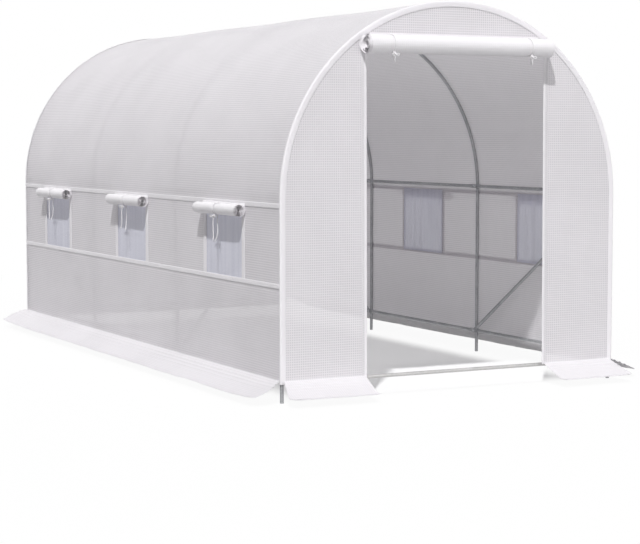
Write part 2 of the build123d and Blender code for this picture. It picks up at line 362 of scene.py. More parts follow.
@dataclass(frozen=True)
class FilmFinish:
    """Woven film: a see-through sheet with a square grid of white threads laminated in it."""

    name: str
    cell: tuple[float, float, float] = (0.85, 0.825, 0.855)
    thread: tuple[float, float, float] = (0.93, 0.905, 0.93)
    cell_cover: float = 0.85
    thread_cover: float = 0.98
    through: float = 0.25
    pitch: float = 0.0122
    thread_width: float = 0.0034
    crease_depth: float = 0.0016
    haze_scale: float = 2.3
    mottle_scale: float = 38.0
    crease_scale: float = 9.0
    haze_gain: float = 1.06
    roughness: float = 0.46

    def make(self) -> bpy.types.Material:
        """Build the material."""
        paint = Paint(self.name)
        warp, weft = (thread_lines(way, self.pitch, self.thread_width) for way in paint.flat_place())
        threads = warp.larger(weft)
        haze = paint.clouds(self.haze_scale, 4.0)
        mottle = paint.clouds(self.mottle_scale, 3.0)
        creases = paint.clouds(self.crease_scale, 5.0, (1.0, 1.0, 0.22)).fade(0.35, 0.72)
        paler = [min(1.0, part * self.haze_gain) for part in self.cell]
        cell = paint.tint(haze.fade(0.3, 0.7), self.cell, paler)
        colour = paint.tint(threads, cell, self.thread)
        cover = self.cell_cover + (self.thread_cover - self.cell_cover) * threads
        cover = cover + (haze - 0.5) * (1 - self.cell_cover) * 0.5
        relief = threads * 0.22 + creases * 0.6 + mottle * 0.18
        normal = paint.bump(relief, self.crease_depth)
        face = paint.principled(
            Base_Color=colour,
            Roughness=self.roughness - 0.10 * threads + 0.08 * mottle,
            Normal=normal,
            Specular_IOR_Level=0.35,
        )
        return paint.finish(paint.sheer(face, self.through, cover, Color=colour, Normal=normal))


@dataclass(frozen=True)
class WebbingFinish:
    """Ribbed white webbing, the grooves of its weave painted darker than its crowns as painted shade."""

    name: str = "ribbed_webbing"
    valley: tuple[float, float, float] = (0.90, 0.875, 0.905)
    crown: tuple[float, float, float] = (0.97, 0.945, 0.975)
    grime: tuple[float, float, float] = (0.84, 0.815, 0.83)
    rib_pitch: float = 0.0016
    twill_pitch: float = 0.0021
    fuzz_scale: float = 900.0
    grime_scale: float = 7.0
    relief: float = 0.0006

    def make(self) -> bpy.types.Material:
        """Build the material."""
        paint = Paint(self.name)
        across, along = paint.flat_place()
        ribs = (across * (math.tau / self.rib_pitch)).sine() * 0.5 + 0.5
        zigzag = 4 * self.rib_pitch
        slant = along + abs((across / zigzag) % 1.0 - 0.5) * zigzag
        twill = (slant * (math.tau / self.twill_pitch)).sine() * 0.5 + 0.5
        weave = ribs * 0.6 + twill * 0.4
        fuzz = paint.clouds(self.fuzz_scale, 2.0)
        worn = paint.clouds(self.grime_scale, 3.0).fade(0.55, 0.85)
        # The valleys of the weave get the darker colour: painted shade in the grooves.
        colour = paint.tint(weave, self.valley, self.crown)
        colour = paint.tint(worn * 0.2, colour, self.grime)
        face = paint.principled(
            Base_Color=colour,
            Roughness=0.78 - 0.12 * weave,
            Normal=paint.bump(weave * 0.8 + fuzz * 0.2, self.relief, 0.7),
            Specular_IOR_Level=0.25,
            Sheen_Weight=0.15,
        )
        return paint.finish(face)


@dataclass(frozen=True)
class NetFinish:
    """Fine insect netting: pale strands with small holes."""

    name: str = "insect_net"
    strand: tuple[float, float, float] = (0.88, 0.885, 0.98)
    gap: tuple[float, float, float] = (0.82, 0.825, 0.96)
    streak: tuple[float, float, float] = (0.93, 0.93, 0.99)
    pitch: float = 0.0015
    strand_width: float = 0.0008
    gap_cover: float = 0.83
    through: float = 0.25
    streak_scale: float = 26.0
    relief: float = 0.0004

    def make(self) -> bpy.types.Material:
        """Build the material."""
        paint = Paint(self.name)
        warp, weft = (thread_lines(way, self.pitch, self.strand_width) for way in paint.flat_place())
        strands = warp.larger(weft)
        streaks = paint.clouds(self.streak_scale, 3.0, (1.0, 1.0, 0.04)).fade(0.3, 0.75)
        colour = paint.tint(strands, self.gap, self.strand)
        colour = paint.tint(streaks * 0.35, colour, self.streak)
        cover = self.gap_cover + (1 - self.gap_cover) * strands + streaks * 0.08 - 0.04
        normal = paint.bump(strands, self.relief, 0.6)
        face = paint.principled(
            Base_Color=colour, Roughness=0.72, Normal=normal, Specular_IOR_Level=0.2
        )
        return paint.finish(paint.sheer(face, self.through, cover, Color=colour))


@dataclass(frozen=True)
class CordFinish:
    """Soft white braided cord, its strands crossing over and under, with painted shade in the grooves between
    them.
    """

    name: str = "braided_cord"
    light: tuple[float, float, float] = (0.96, 0.94, 0.96)
    groove: tuple[float, float, float] = (0.80, 0.785, 0.80)
    strands: int = 8
    lay: float = 0.011
    relief: float = 0.0006

    def make(self) -> bpy.types.Material:
        """Build the material."""
        paint = Paint(self.name)
        around, along = paint.flat_place()
        advance = along * (math.tau * self.strands / 2 / self.lay)
        sweep = around * (math.tau * self.strands / 2)
        over = (sweep + advance).sine()
        under = (sweep - advance).sine()
        braid = abs(over.larger(under))
        # The grooves between the strands get the darker colour: painted shade.
        colour = paint.tint(braid, self.groove, self.light)
        face = paint.principled(
            Base_Color=colour,
            Roughness=0.82 - 0.1 * braid,
            Normal=paint.bump(braid, self.relief, 0.8),
            Specular_IOR_Level=0.2,
            Sheen_Weight=0.2,
        )
        return paint.finish(face)


@dataclass(frozen=True)
class ZincFinish:
    """Galvanised steel: grey zinc with soft spangle, drawn streaks and a few dull patches."""

    name: str
    dark: tuple[float, float, float] = (0.32, 0.325, 0.34)
    light: tuple[float, float, float] = (0.50, 0.505, 0.52)
    scuff: tuple[float, float, float] = (0.80, 0.80, 0.81)
    spangle_scale: float = 120.0
    patch_scale: float = 6.0
    scuff_scale: float = 260.0
    gloss: float = 0.42
    relief: float = 0.0002

    def make(self) -> bpy.types.Material:
        """Build the material."""
        paint = Paint(self.name)
        crystals = paint.node(
            "ShaderNodeTexVoronoi", None, {"Vector": paint.place(), "Scale": self.spangle_scale}, "Color"
        )
        spangle = paint.node("ShaderNodeSeparateColor", None, {0: crystals})
        patches = paint.clouds(self.patch_scale, 4.0).fade(0.35, 0.7)
        scuffs = paint.clouds(self.scuff_scale, 3.0, (1.0, 1.0, 0.15)).fade(0.55, 0.8)
        colour = paint.tint(spangle * 0.5 + patches * 0.5, self.dark, self.light)
        colour = paint.tint(scuffs * 0.3, colour, self.scuff)
        face = paint.principled(
            Base_Color=colour,
            Metallic=0.62 - 0.15 * patches,
            Roughness=self.gloss + 0.14 * spangle + 0.08 * scuffs,
            Normal=paint.bump(spangle * 0.5 + scuffs * 0.5, self.relief, 0.5),
        )
        return paint.finish(face)


@dataclass(frozen=True)
class ThreadFinish:
    """White sewing thread, twisted, with painted shade in the grooves of its twist."""

    name: str = "sewing_thread"
    colour: tuple[float, float, float] = (0.88, 0.88, 0.885)
    groove: float = 0.86
    twist: float = 1900.0
    relief: float = 0.0002

    def make(self) -> bpy.types.Material:
        """Build the material."""
        paint = Paint(self.name)
        ply = paint.clouds(self.twist, 1.0, (1.0, 0.5, 0.5))
        # The twist's grooves are painted darker: painted shade.
        colour = paint.tint(ply, [part * self.groove for part in self.colour], self.colour)
        normal = paint.bump(ply, self.relief, 0.6)
        face = paint.principled(Base_Color=colour, Roughness=0.55 + 0.15 * ply, Normal=normal)
        return paint.finish(face)


@dataclass
class Finishes:
    """Every material of the dressing."""

    film: bpy.types.Material
    skirt: bpy.types.Material
    rolled: bpy.types.Material
    webbing: bpy.types.Material
    net: bpy.types.Material
    cord: bpy.types.Material
    tube: bpy.types.Material
    sill: bpy.types.Material
    fastener: bpy.types.Material
    thread: bpy.types.Material

    @classmethod
    def make(cls) -> "Finishes":
        """Build them all."""
        return cls(
            film=FilmFinish("woven_film").make(),
            skirt=FilmFinish(
                "skirt_film",
                cell=(0.80, 0.78, 0.805),
                thread=(0.86, 0.84, 0.865),
                cell_cover=0.96,
                thread_cover=1.0,
                through=0.15,
            ).make(),
            rolled=FilmFinish(
                "rolled_film",
                cell=(0.94, 0.92, 0.945),
                thread=(0.97, 0.95, 0.975),
                cell_cover=0.99,
                thread_cover=1.0,
                through=0.11,
                crease_depth=0.0022,
            ).make(),
            webbing=WebbingFinish().make(),
            net=NetFinish().make(),
            cord=CordFinish().make(),
            tube=ZincFinish("galvanised_tube").make(),
            # The sill's copy of the zinc is lighter than the frame's: painted light, for the fuller light on
            # the sill out in the open.
            sill=ZincFinish("bright_bar", (0.48, 0.475, 0.47), (0.62, 0.61, 0.605)).make(),
            fastener=ZincFinish(
                "bright_zinc", (0.55, 0.56, 0.58), (0.72, 0.73, 0.75), spangle_scale=600.0, gloss=0.3
            ).make(),
            thread=ThreadFinish().make(),
        )


# Mesh building


@dataclass
class Patch:
    """A grid of cloth, with where each crossing of a row and a column goes and lies on the flat cloth."""

    rows: Sequence[float]
    columns: Sequence[float]
    place: Callable[[float, float], Vector]
    flat: Callable[[float, float], tuple[float, float]] = lambda row, column: (column, row)
    keep: Callable[[float, float], bool] = lambda row, column: True


def stations(stops: Sequence[float], step: float) -> list[float]:
    """Places from stop to stop, no further apart than step.

    Args:
        stops: places that must be there, in rising order.
        step: the largest distance between two places.

    Returns:
        The stops and the places between them.
    """
    places = [stops[0]]
    for low, high in pairwise(stops):
        count = max(1, math.ceil((high - low) / step - ROUNDING))
        places += [low + (high - low) * (i + 1) / count for i in range(count)]
    return places


def put(name: str, mesh: bpy.types.Mesh, finish: bpy.types.Material | None = None) -> bpy.types.Object:
    """Place a finished mesh in the scene as an object of its own."""
    if finish is not None and not mesh.materials:
        mesh.materials.append(finish)
    piece = bpy.data.objects.new(name, mesh)
    bpy.context.scene.collection.objects.link(piece)
    return piece


def close(work: bmesh.types.BMesh, name: str, smooth: bool = True) -> bpy.types.Mesh:
    """Turn a bmesh into a mesh, with flat caps."""
    for face in work.faces:
        face.smooth = smooth and len(face.verts) <= 4
    mesh = bpy.data.meshes.new(name)
    work.to_mesh(mesh)
    work.free()
    return mesh


def sew(
    name: str,
    patches: Sequence[Patch],
    finish: bpy.types.Material,
    outward: Callable[[Vector], Vector],
) -> bpy.types.Object:
    """Join patches into one sheet of cloth.

    Args:
        name: the piece's name.
        patches: the grids that it is made of, which share the points where they meet.
        finish: its material.
        outward: the way that its face should look at a point.

    Returns:
        The sheet, one layer of faces.
    """
    work = bmesh.new()
    flat_map = work.loops.layers.uv.new(CLOTH_MAP)
    for patch in patches:
        points = [
            [work.verts.new(patch.place(row, column)) for column in patch.columns] for row in patch.rows
        ]
        for i, (low_row, high_row) in enumerate(pairwise(patch.rows)):
            for j, (low, high) in enumerate(pairwise(patch.columns)):
                if not patch.keep((low_row + high_row) / 2, (low + high) / 2):
                    continue
                corners = (points[i][j], points[i][j + 1], points[i + 1][j + 1], points[i + 1][j])
                places = ((low_row, low), (low_row, high), (high_row, high), (high_row, low))
                face = work.faces.new(corners)
                for loop, place in zip(face.loops, places):
                    loop[flat_map].uv = patch.flat(*place)
    bmesh.ops.remove_doubles(work, verts=work.verts, dist=ROUNDING)
    unused = [vert for vert in work.verts if not vert.link_faces]
    bmesh.ops.delete(work, geom=unused, context="VERTS")
    bmesh.ops.recalc_face_normals(work, faces=work.faces)
    facing = sum(
        face.normal.dot(outward(face.calc_center_median())) * face.calc_area() for face in work.faces
    )
    if facing < 0:
        bmesh.ops.reverse_faces(work, faces=work.faces)
    return put(name, close(work, name), finish)


def thicken(piece: bpy.types.Object, thickness: float, offset: float = 0.0) -> None:
    """Give a sheet its thickness, about its middle or to one side of it."""
    solid = piece.modifiers.new("thickness", "SOLIDIFY")
    solid.thickness = thickness
    solid.offset = offset
    solid.use_even_offset = False


@dataclass
class Frame:
    """A place on a path, with the two directions that a section is drawn in."""

    origin: Vector
    across: Vector
    up: Vector


def tangent_at(points: Sequence[Vector], i: int) -> Vector:
    """The way that a path runs at one of its points."""
    return (points[min(i + 1, len(points) - 1)] - points[max(i - 1, 0)]).normalized()


def frames_along(points: Sequence[Vector], across: Vector) -> list[Frame]:
    """Frames along a path that turn no more than the path does.

    Args:
        points: the path.
        across: a direction across its start.

    Returns:
        One frame at each point.
    """
    frames = []
    for i, point in enumerate(points):
        tangent = tangent_at(points, i)
        across = (across - tangent * across.dot(tangent)).normalized()
        frames.append(Frame(point, across, tangent.cross(across)))
    return frames


def sweep(
    name: str,
    frames: Sequence[Frame],
    section: Sequence[tuple[float, float]],
    finish: bpy.types.Material,
    scales: Sequence[float] | None = None,
    round_map: bool = False,
) -> bpy.types.Object:
    """Run a closed section along a path, and close its ends.

    Args:
        name: the piece's name.
        frames: the path.
        section: the section's points, in each frame's two directions.
        finish: the material.
        scales: the section's scale at each frame, for rounded or tapered ends.
        round_map: whether the cloth map's first value is the share of the way round, not metres across.

    Returns:
        The swept piece.
    """
    work = bmesh.new()
    flat_map = work.loops.layers.uv.new(CLOTH_MAP)
    scales = scales or [1.0] * len(frames)
    rings = [
        [
            work.verts.new(frame.origin + frame.across * (a * scale) + frame.up * (b * scale))
            for a, b in section
        ]
        for frame, scale in zip(frames, scales)
    ]
    travelled = [0.0]
    for before, after in pairwise(frames):
        travelled.append(travelled[-1] + (after.origin - before.origin).length)
    count = len(section)
    for i, (ring, following) in enumerate(pairwise(rings)):
        for j in range(count):
            k = (j + 1) % count
            face = work.faces.new((ring[j], ring[k], following[k], following[j]))
            first = j / count if round_map else section[j][0]
            second = (j + 1) / count if round_map else section[k][0]
            marks = ((first, i), (second, i), (second, i + 1), (first, i + 1))
            for loop, (u, row) in zip(face.loops, marks):
                loop[flat_map].uv = (u, travelled[row])
    for ring, distance in ((rings[0], 0.0), (rings[-1], travelled[-1])):
        face = work.faces.new(ring)
        for loop in face.loops:
            loop[flat_map].uv = (0.0, distance)
    bmesh.ops.recalc_face_normals(work, faces=work.faces)
    return put(name, close(work, name), finish)


def firm_ends(points: Sequence[Vector], lead: float = 0.001) -> list[Vector]:
    """A path with one more point close to each end, which keeps the ends' shading to the ends."""
    start, end = points[0], points[-1]
    after = start + (points[1] - start).normalized() * lead
    before = end + (points[-2] - end).normalized() * lead
    return [start, after, *points[1:-1], before, end]


def circle(radius: float, sides: int) -> list[tuple[float, float]]:
    """A round section."""
    angles = [math.tau * i / sides for i in range(sides)]
    return [(radius * math.cos(angle), radius * math.sin(angle)) for angle in angles]


def tube(
    name: str,
    points: Sequence[Vector],
    radius: float,
    finish: bpy.types.Material,
    across: Vector,
    sides: int = 12,
) -> bpy.types.Object:
    """A cord along a path, with rounded ends."""
    start_way = (points[0] - points[1]).normalized()
    end_way = (points[-1] - points[-2]).normalized()
    narrowing = (0.5, 0.85)
    bulge = radius * 0.6
    lead = [points[0] + start_way * (bulge * (1 - share)) for share in narrowing]
    trail = [points[-1] + end_way * (bulge * (1 - share)) for share in reversed(narrowing)]
    path = [*lead, *points, *trail]
    scales = [*narrowing, *[1.0] * len(points), *reversed(narrowing)]
    return sweep(name, frames_along(path, across), circle(radius, sides), finish, scales, round_map=True)


def smooth_line(points: Sequence[Vector], cyclic: bool = False, resolution: int = 8) -> list[Vector]:
    """Points along the NURBS spline of a route.

    Args:
        points: the route, the spline's control points.
        cyclic: whether it closes on itself.
        resolution: points to each of its spans.

    Returns:
        Points close together along the spline.
    """
    curve = bpy.data.curves.new("route", "CURVE")
    curve.dimensions = "3D"
    curve.resolution_u = resolution
    spline = curve.splines.new("NURBS")
    spline.points.add(len(points) - 1)
    for control, point in zip(spline.points, points):
        control.co = (*point, 1.0)
    spline.order_u = 3
    spline.use_endpoint_u = not cyclic
    spline.use_cyclic_u = cyclic
    holder = bpy.data.objects.new("route", curve)
    mesh = bpy.data.meshes.new_from_object(holder)
    line = [vert.co.copy() for vert in mesh.vertices]
    bpy.data.objects.remove(holder)
    bpy.data.curves.remove(curve)
    bpy.data.meshes.remove(mesh)
    return line


def join(name: str, parts: Sequence[bpy.types.Object]) -> bpy.types.Object:
    """Make several objects one, with their shared material."""
    work = bmesh.new()
    for part in parts:
        work.from_mesh(part.data)
    material = parts[0].data.materials[0]
    for part in parts:
        bpy.data.objects.remove(part)
    return put(name, close(work, name), material)


def hand_over(piece: bpy.types.Object, slot: str, *nodes: str) -> bpy.types.Object:
    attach(piece, "root")
    if nodes:
        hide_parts(*nodes)
    log.info("%s: %d faces", piece.name, len(piece.data.polygons))
    return piece


# Geometry Nodes


class Grower(Graph):
    """A Geometry Nodes tree with named inputs."""

    def __init__(self, name: str, inputs: dict[str, str]) -> None:
        tree = bpy.data.node_groups.new(name, "GeometryNodeTree")
        super().__init__(tree)
        tree.interface.new_socket("Geometry", in_out="INPUT", socket_type="NodeSocketGeometry")
        tree.interface.new_socket("Geometry", in_out="OUTPUT", socket_type="NodeSocketGeometry")
        for label, kind in inputs.items():
            tree.interface.new_socket(label, in_out="INPUT", socket_type=kind)
        self.entry = tree.nodes.new("NodeGroupInput")

    def given(self, name: str) -> Signal:
        """One of the tree's inputs."""
        return Signal(self, self.entry.outputs[name])

    def end(self, geometry: Signal, finish: Signal) -> None:
        """Make the instances real, give them their material, and hand them over."""
        real = self.node("GeometryNodeRealizeInstances", None, {"Geometry": geometry})
        painted = self.node("GeometryNodeSetMaterial", None, {"Geometry": real, "Material": finish})
        self.node("NodeGroupOutput", None, {"Geometry": painted})

    def sow(self, way: Signal, lean: float, seed: int, **sockets: Signal) -> None:
        """Set an instance on every point, and end the tree with them.

        Args:
            way: the way that an instance's Z looks.
            lean: how far it may lean off that, in radians.
            seed: of the random lean and turn.
            sockets: the sockets of the node that sets the instances on the points.
        """
        facing = self.node("FunctionNodeAlignRotationToVector", {"axis": "Z"}, {"Vector": way})
        sown = self.node("GeometryNodeInstanceOnPoints", None, {**sockets, "Rotation": facing})
        limits = {0: (-lean, -lean, 0.0), 1: (lean, lean, math.pi), "Seed": seed}
        turn = self.node("FunctionNodeRandomValue", {"data_type": "FLOAT_VECTOR"}, limits)
        turned = self.node("GeometryNodeRotateInstances", None, {"Instances": sown, "Rotation": turn})
        self.end(turned, self.given("Finish"))

    def grow(self, name: str, seeds: bpy.types.Mesh, **values: Any) -> bpy.types.Object:
        """Run the tree on a mesh and keep its plain result.

        Args:
            name: the new piece's name.
            seeds: the mesh that the tree starts from.
            values: the tree's inputs, named with _ for a space.

        Returns:
            A plain mesh object.
        """
        piece = put(name, seeds)
        modifier = piece.modifiers.new("grow", "NODES")
        modifier.node_group = self.tree
        for item in self.tree.interface.items_tree:
            key = item.name.replace(" ", "_")
            if item.item_type == "SOCKET" and item.in_out == "INPUT" and key in values:
                modifier[item.identifier] = values[key]
        piece.update_tag()
        depsgraph = bpy.context.evaluated_depsgraph_get()
        result = bpy.data.meshes.new_from_object(
            piece.evaluated_get(depsgraph), preserve_all_data_layers=True, depsgraph=depsgraph
        )
        piece.modifiers.clear()
        piece.data = result
        bpy.data.meshes.remove(seeds)
        return piece


def lines_mesh(name: str, lines: Sequence[Sequence[Vector]]) -> bpy.types.Mesh:
    """A mesh of edges only, one chain for each line."""
    work = bmesh.new()
    for line in lines:
        chain = [work.verts.new(point) for point in line]
        for before, after in pairwise(chain):
            work.edges.new((before, after))
    return close(work, name)


class Stitcher(Grower):
    """Sets a running stitch along every line that it is given."""

    def __init__(self) -> None:
        inputs = {
            "Pitch": "NodeSocketFloat",
            "Stitch Length": "NodeSocketFloat",
            "Thread Width": "NodeSocketFloat",
            "Finish": "NodeSocketMaterial",
        }
        super().__init__("running_stitch", inputs)
        rows = self.node("GeometryNodeMeshToCurve", None, {"Mesh": self.given("Geometry")})
        spaced = self.node(
            "GeometryNodeResampleCurve", {"mode": "LENGTH"}, {"Curve": rows, "Length": self.given("Pitch")}
        )
        tangent = self.node("GeometryNodeInputTangent")
        half_length = self.given("Stitch Length") * 0.5
        half_width = self.given("Thread Width") * 0.5
        size = self.node("ShaderNodeCombineXYZ", None, {0: half_width, 1: half_width, 2: half_length})
        stitch = self.node("GeometryNodeMeshIcoSphere", None, {"Radius": 1.0, "Subdivisions": 1})
        self.sow(tangent, lean=0.09, seed=11, Points=spaced, Instance=stitch, Scale=size)


class Fastener(Grower):
    """Sets a bolt with its wing nut at every point, along the point's own facing."""

    def __init__(self) -> None:
        super().__init__("bolting", {"Bolt": "NodeSocketObject", "Finish": "NodeSocketMaterial"})
        bolt = self.node("GeometryNodeObjectInfo", None, {"Object": self.given("Bolt")}, "Geometry")
        facing = self.node(
            "GeometryNodeInputNamedAttribute", {"data_type": "FLOAT_VECTOR"}, {"Name": FACING}, "Attribute"
        )
        self.sow(facing, lean=0.0, seed=5, Points=self.given("Geometry"), Instance=bolt)


# Sub-assemblies


@dataclass
class Sewing:
    """Sewn webbing: flat straps with a row of stitches along each edge."""

    finishes: Finishes
    stitcher: Stitcher
    thickness: float = 0.0012
    inset: float = 0.003
    pitch: float = 0.0068
    stitch_length: float = 0.0046
    thread: float = 0.0009
    bead: float = 0.0005
    step: float = 0.05

    def strap(
        self,
        name: str,
        points: Sequence[Vector],
        width: float,
        outward: Vector,
        finish: bpy.types.Material | None = None,
    ) -> bpy.types.Object:
        """A flat strap along a path.

        Args:
            name: the piece's name.
            points: the middle of its back, from end to end.
            width: its width.
            outward: the way that its face looks.
            finish: its material, webbing unless given.

        Returns:
            The strap, closed.
        """
        half = width / 2
        rim = half + self.bead
        shoulder = self.thickness * 0.9
        section = [
            (-half, 0.0),
            (half, 0.0),
            (rim, self.thickness / 2),
            (half, shoulder),
            (half / 2, self.thickness),
            (-half / 2, self.thickness),
            (-half, shoulder),
            (-rim, self.thickness / 2),
        ]
        frames = self.facing(firm_ends(points), outward)
        return sweep(name, frames, section, finish or self.finishes.webbing)

    @staticmethod
    def facing(points: Sequence[Vector], outward: Vector) -> list[Frame]:
        """Frames along a path that all look the same way."""
        return [
            Frame(point, tangent_at(points, i).cross(outward).normalized(), outward)
            for i, point in enumerate(points)
        ]

    def rows(self, points: Sequence[Vector], width: float, outward: Vector) -> list[list[Vector]]:
        """The two lines of stitches along a strap's edges, on its face."""
        lift = outward * self.thickness
        frames = self.facing(points, outward)
        asides = [way * (width / 2 - self.inset) for way in (-1, 1)]
        return [[frame.origin + frame.across * aside + lift for frame in frames] for aside in asides]

    def stitch(self, name: str, rows: Sequence[Sequence[Vector]]) -> bpy.types.Object:
        """Stitches along these lines, as one piece."""
        return self.stitcher.grow(
            name,
            lines_mesh(name, rows),
            Pitch=self.pitch,
            Stitch_Length=self.stitch_length,
            Thread_Width=self.thread,
            Finish=self.finishes.thread,
        )


@dataclass
class RoofCover:
    """The roof: one sheet from side seam to side seam, drawn over the hoops and slack between them."""

    finishes: Finishes
    lap: float = 0.006
    sag: float = 0.0045
    step: float = 0.04
    wave: float = 0.0016
    pucker: float = 0.0007
    pucker_reach: float = 0.06
    rim_reach: float = 0.25

    @property
    def leg(self) -> float:
        """How far the sheet runs straight up before the arch."""
        return TUNNEL.spring - TUNNEL.upper_seam + self.lap

    @property
    def total(self) -> float:
        """The sheet's length round the section."""
        return 2 * self.leg + math.pi * TUNNEL.film_line

    def place(self, run: float, y: float) -> Vector:
        """A point of the roof, from its distance round the section, from the left seam, and its Y."""
        rim = min(run, self.total - run)
        slack = TUNNEL.slack(y)
        sag = self.sag + self.wave * noise.noise(Vector((y * 1.7, run * 2.6, 0.3)))
        drop = slack * min(1.0, rim / self.rim_reach) * sag
        crinkle = self.pucker * noise.noise(Vector((y * 21, run * 5, 4.0)))
        radius = TUNNEL.film_line - drop + crinkle * math.exp(-rim / self.pucker_reach) * slack
        if run <= self.leg:
            return Vector((-radius, y, TUNNEL.upper_seam - self.lap + run))
        if run >= self.total - self.leg:
            return Vector((radius, y, TUNNEL.upper_seam - self.lap + self.total - run))
        angle = math.pi - (run - self.leg) / TUNNEL.film_line
        return Vector((radius * math.cos(angle), y, TUNNEL.spring + radius * math.sin(angle)))

    def build(self) -> bpy.types.Object:
        end = TUNNEL.half_length
        patch = Patch(
            stations([0.0, self.leg, self.total - self.leg, self.total], self.step * 0.7),
            stations([-end, *TUNNEL.hoops, end], self.step),
            self.place,
        )
        centre = Vector((0, 0, TUNNEL.spring))
        roof = sew("roof_cover", [patch], self.finishes.film, lambda p: (p - centre) * Vector((1, 0, 1)))
        hand_over(roof, "cover_film", "left_roof_film", "crown_roof_film", "right_roof_film")
        self.total
        return roof


@dataclass
class SideWall:
    """One side: its film, the windows' netting, the webbing over the seams and beside the windows."""

    side: Side
    finishes: Finishes
    sewing: Sewing
    step: float = 0.035
    billow: float = 0.0024
    mean_swell: float = 0.35
    screen_lap: float = 0.015
    screen_line: float = 0.9960
    screen_sag: float = 0.0012
    screen_ripple: float = 0.0016
    screen_step: float = 0.025
    strap_end: float = 1.9857
    strap_wander: float = 0.0006
    tape_tuck: float = 0.004
    tape_step: float = 0.06
    tape_depth: float = 0.0003

    def place(self, z: float, y: float) -> Vector:
        """A point of the film, from its height and Y."""
        below = z <= TUNNEL.lower_seam
        low = TUNNEL.base if below else TUNNEL.lower_seam
        high = TUNNEL.lower_seam if below else TUNNEL.upper_seam
        share = min(1.0, max(0.0, (z - low) / (high - low)))
        hold = TUNNEL.slack(y) * math.sin(math.pi * share)
        swell = self.mean_swell + noise.noise(Vector((y * 2.1, z * 3.1, 7.7 * self.side.value)))
        return Vector((self.side.value * (TUNNEL.film_line - self.billow * hold * swell), y, z))

    def in_window(self, z: float, y: float) -> bool:
        """Whether a point of the wall is in a window."""
        return TUNNEL.window_foot < z < TUNNEL.window_top and any(
            abs(y - middle) < TUNNEL.window_width / 2 for middle in TUNNEL.windows
        )

    def build_film(self) -> bpy.types.Object:
        """Build the film wall, its windows cut out."""
        half = TUNNEL.window_width / 2
        edges = [middle + way * half for middle in TUNNEL.windows for way in (-1, 1)]
        end = TUNNEL.half_length
        heights = [
            TUNNEL.base, TUNNEL.lower_seam, TUNNEL.window_foot, TUNNEL.window_top, TUNNEL.upper_seam
        ]
        patch = Patch(
            stations(heights, self.step),
            stations(sorted([-end, *TUNNEL.hoops, *edges, end]), self.step),
            self.place,
            keep=lambda z, y: not self.in_window(z, y),
        )
        return sew(f"{self.side.word}_wall_film", [patch], self.finishes.film, lambda p: Vector((p.x, 0, 0)))

    def build_webbing(self) -> tuple[bpy.types.Object, bpy.types.Object]:
        """Build the side's webbing and its stitches."""
        outward = Vector((self.side.value, 0, 0))
        face = self.side.value * TUNNEL.half_width
        lines = []
        for label, height in (("lower", TUNNEL.lower_seam), ("upper", TUNNEL.upper_seam)):
            line = []
            for y in stations([-self.strap_end, self.strap_end], self.sewing.step):
                wander = self.strap_wander * noise.noise(Vector((y * 3.1, height * 9, 0)))
                line.append(Vector((face, y, height + wander)))
            lines.append((f"{self.side.word}_{label}_strap", line, TUNNEL.strap_width))
        reach = TUNNEL.window_width / 2 + TUNNEL.window_border / 2
        overlap = TUNNEL.strap_width / 2
        ends = [TUNNEL.lower_seam + overlap - self.tape_tuck, TUNNEL.upper_seam - overlap + self.tape_tuck]
        back = face - self.side.value * self.tape_depth
        for middle in TUNNEL.windows:
            for way in (-1, 1):
                line = [Vector((back, middle + way * reach, z)) for z in stations(ends, self.tape_step)]
                lines.append(("window_tape", line, TUNNEL.window_border))
        straps, rows = [], []
        for name, line, width in lines:
            straps.append(self.sewing.strap(name, line, width, outward))
            rows += self.sewing.rows(line, width, outward)
        webbing = join(f"{self.side.word}_wall_webbing", straps)
        stitches = self.sewing.stitch(f"{self.side.word}_wall_stitches", rows)
        return webbing, stitches

    def build_screens(self) -> None:
        """Build the netting behind each window."""
        half = TUNNEL.window_width / 2 + self.screen_lap
        low, high = TUNNEL.window_foot - self.screen_lap, TUNNEL.window_top + self.screen_lap
        for label, middle in zip(("front", "middle", "rear"), TUNNEL.windows):

            def place(z: float, y: float) -> Vector:
                """A point of the netting."""
                free = math.sin(math.pi * (z - low) / (high - low))
                free *= math.cos(math.pi * (y - middle) / 2 / half)
                ripple = self.screen_ripple * noise.noise(Vector((y * 9, z * 2.5, 3.0 * self.side.value)))
                line = self.screen_line - free * (self.screen_sag + ripple)
                return Vector((self.side.value * line, y, z))

            rows = stations([low, high], self.screen_step)
            columns = stations([middle - half, middle + half], self.screen_step)
            name = f"{self.side.word}_{label}_screen"
            patch = Patch(rows, columns, place)
            screen = sew(name, [patch], self.finishes.net, lambda p: Vector((p.x, 0, 0)))
            hand_over(screen, "insect_mesh", f"{self.side.word}_window_screens")
            2 * half
            high - low

    def build(self) -> None:
        """Build the side, attach its pieces to the frame and hide the solids that they stand in for."""
        film = hand_over(self.build_film(), "cover_film", f"{self.side.word}_wall")
        webbing, stitches = self.build_webbing()
        hand_over(webbing, "webbing", f"{self.side.word}_wall")
        hand_over(stitches, "webbing")
        self.build_screens()


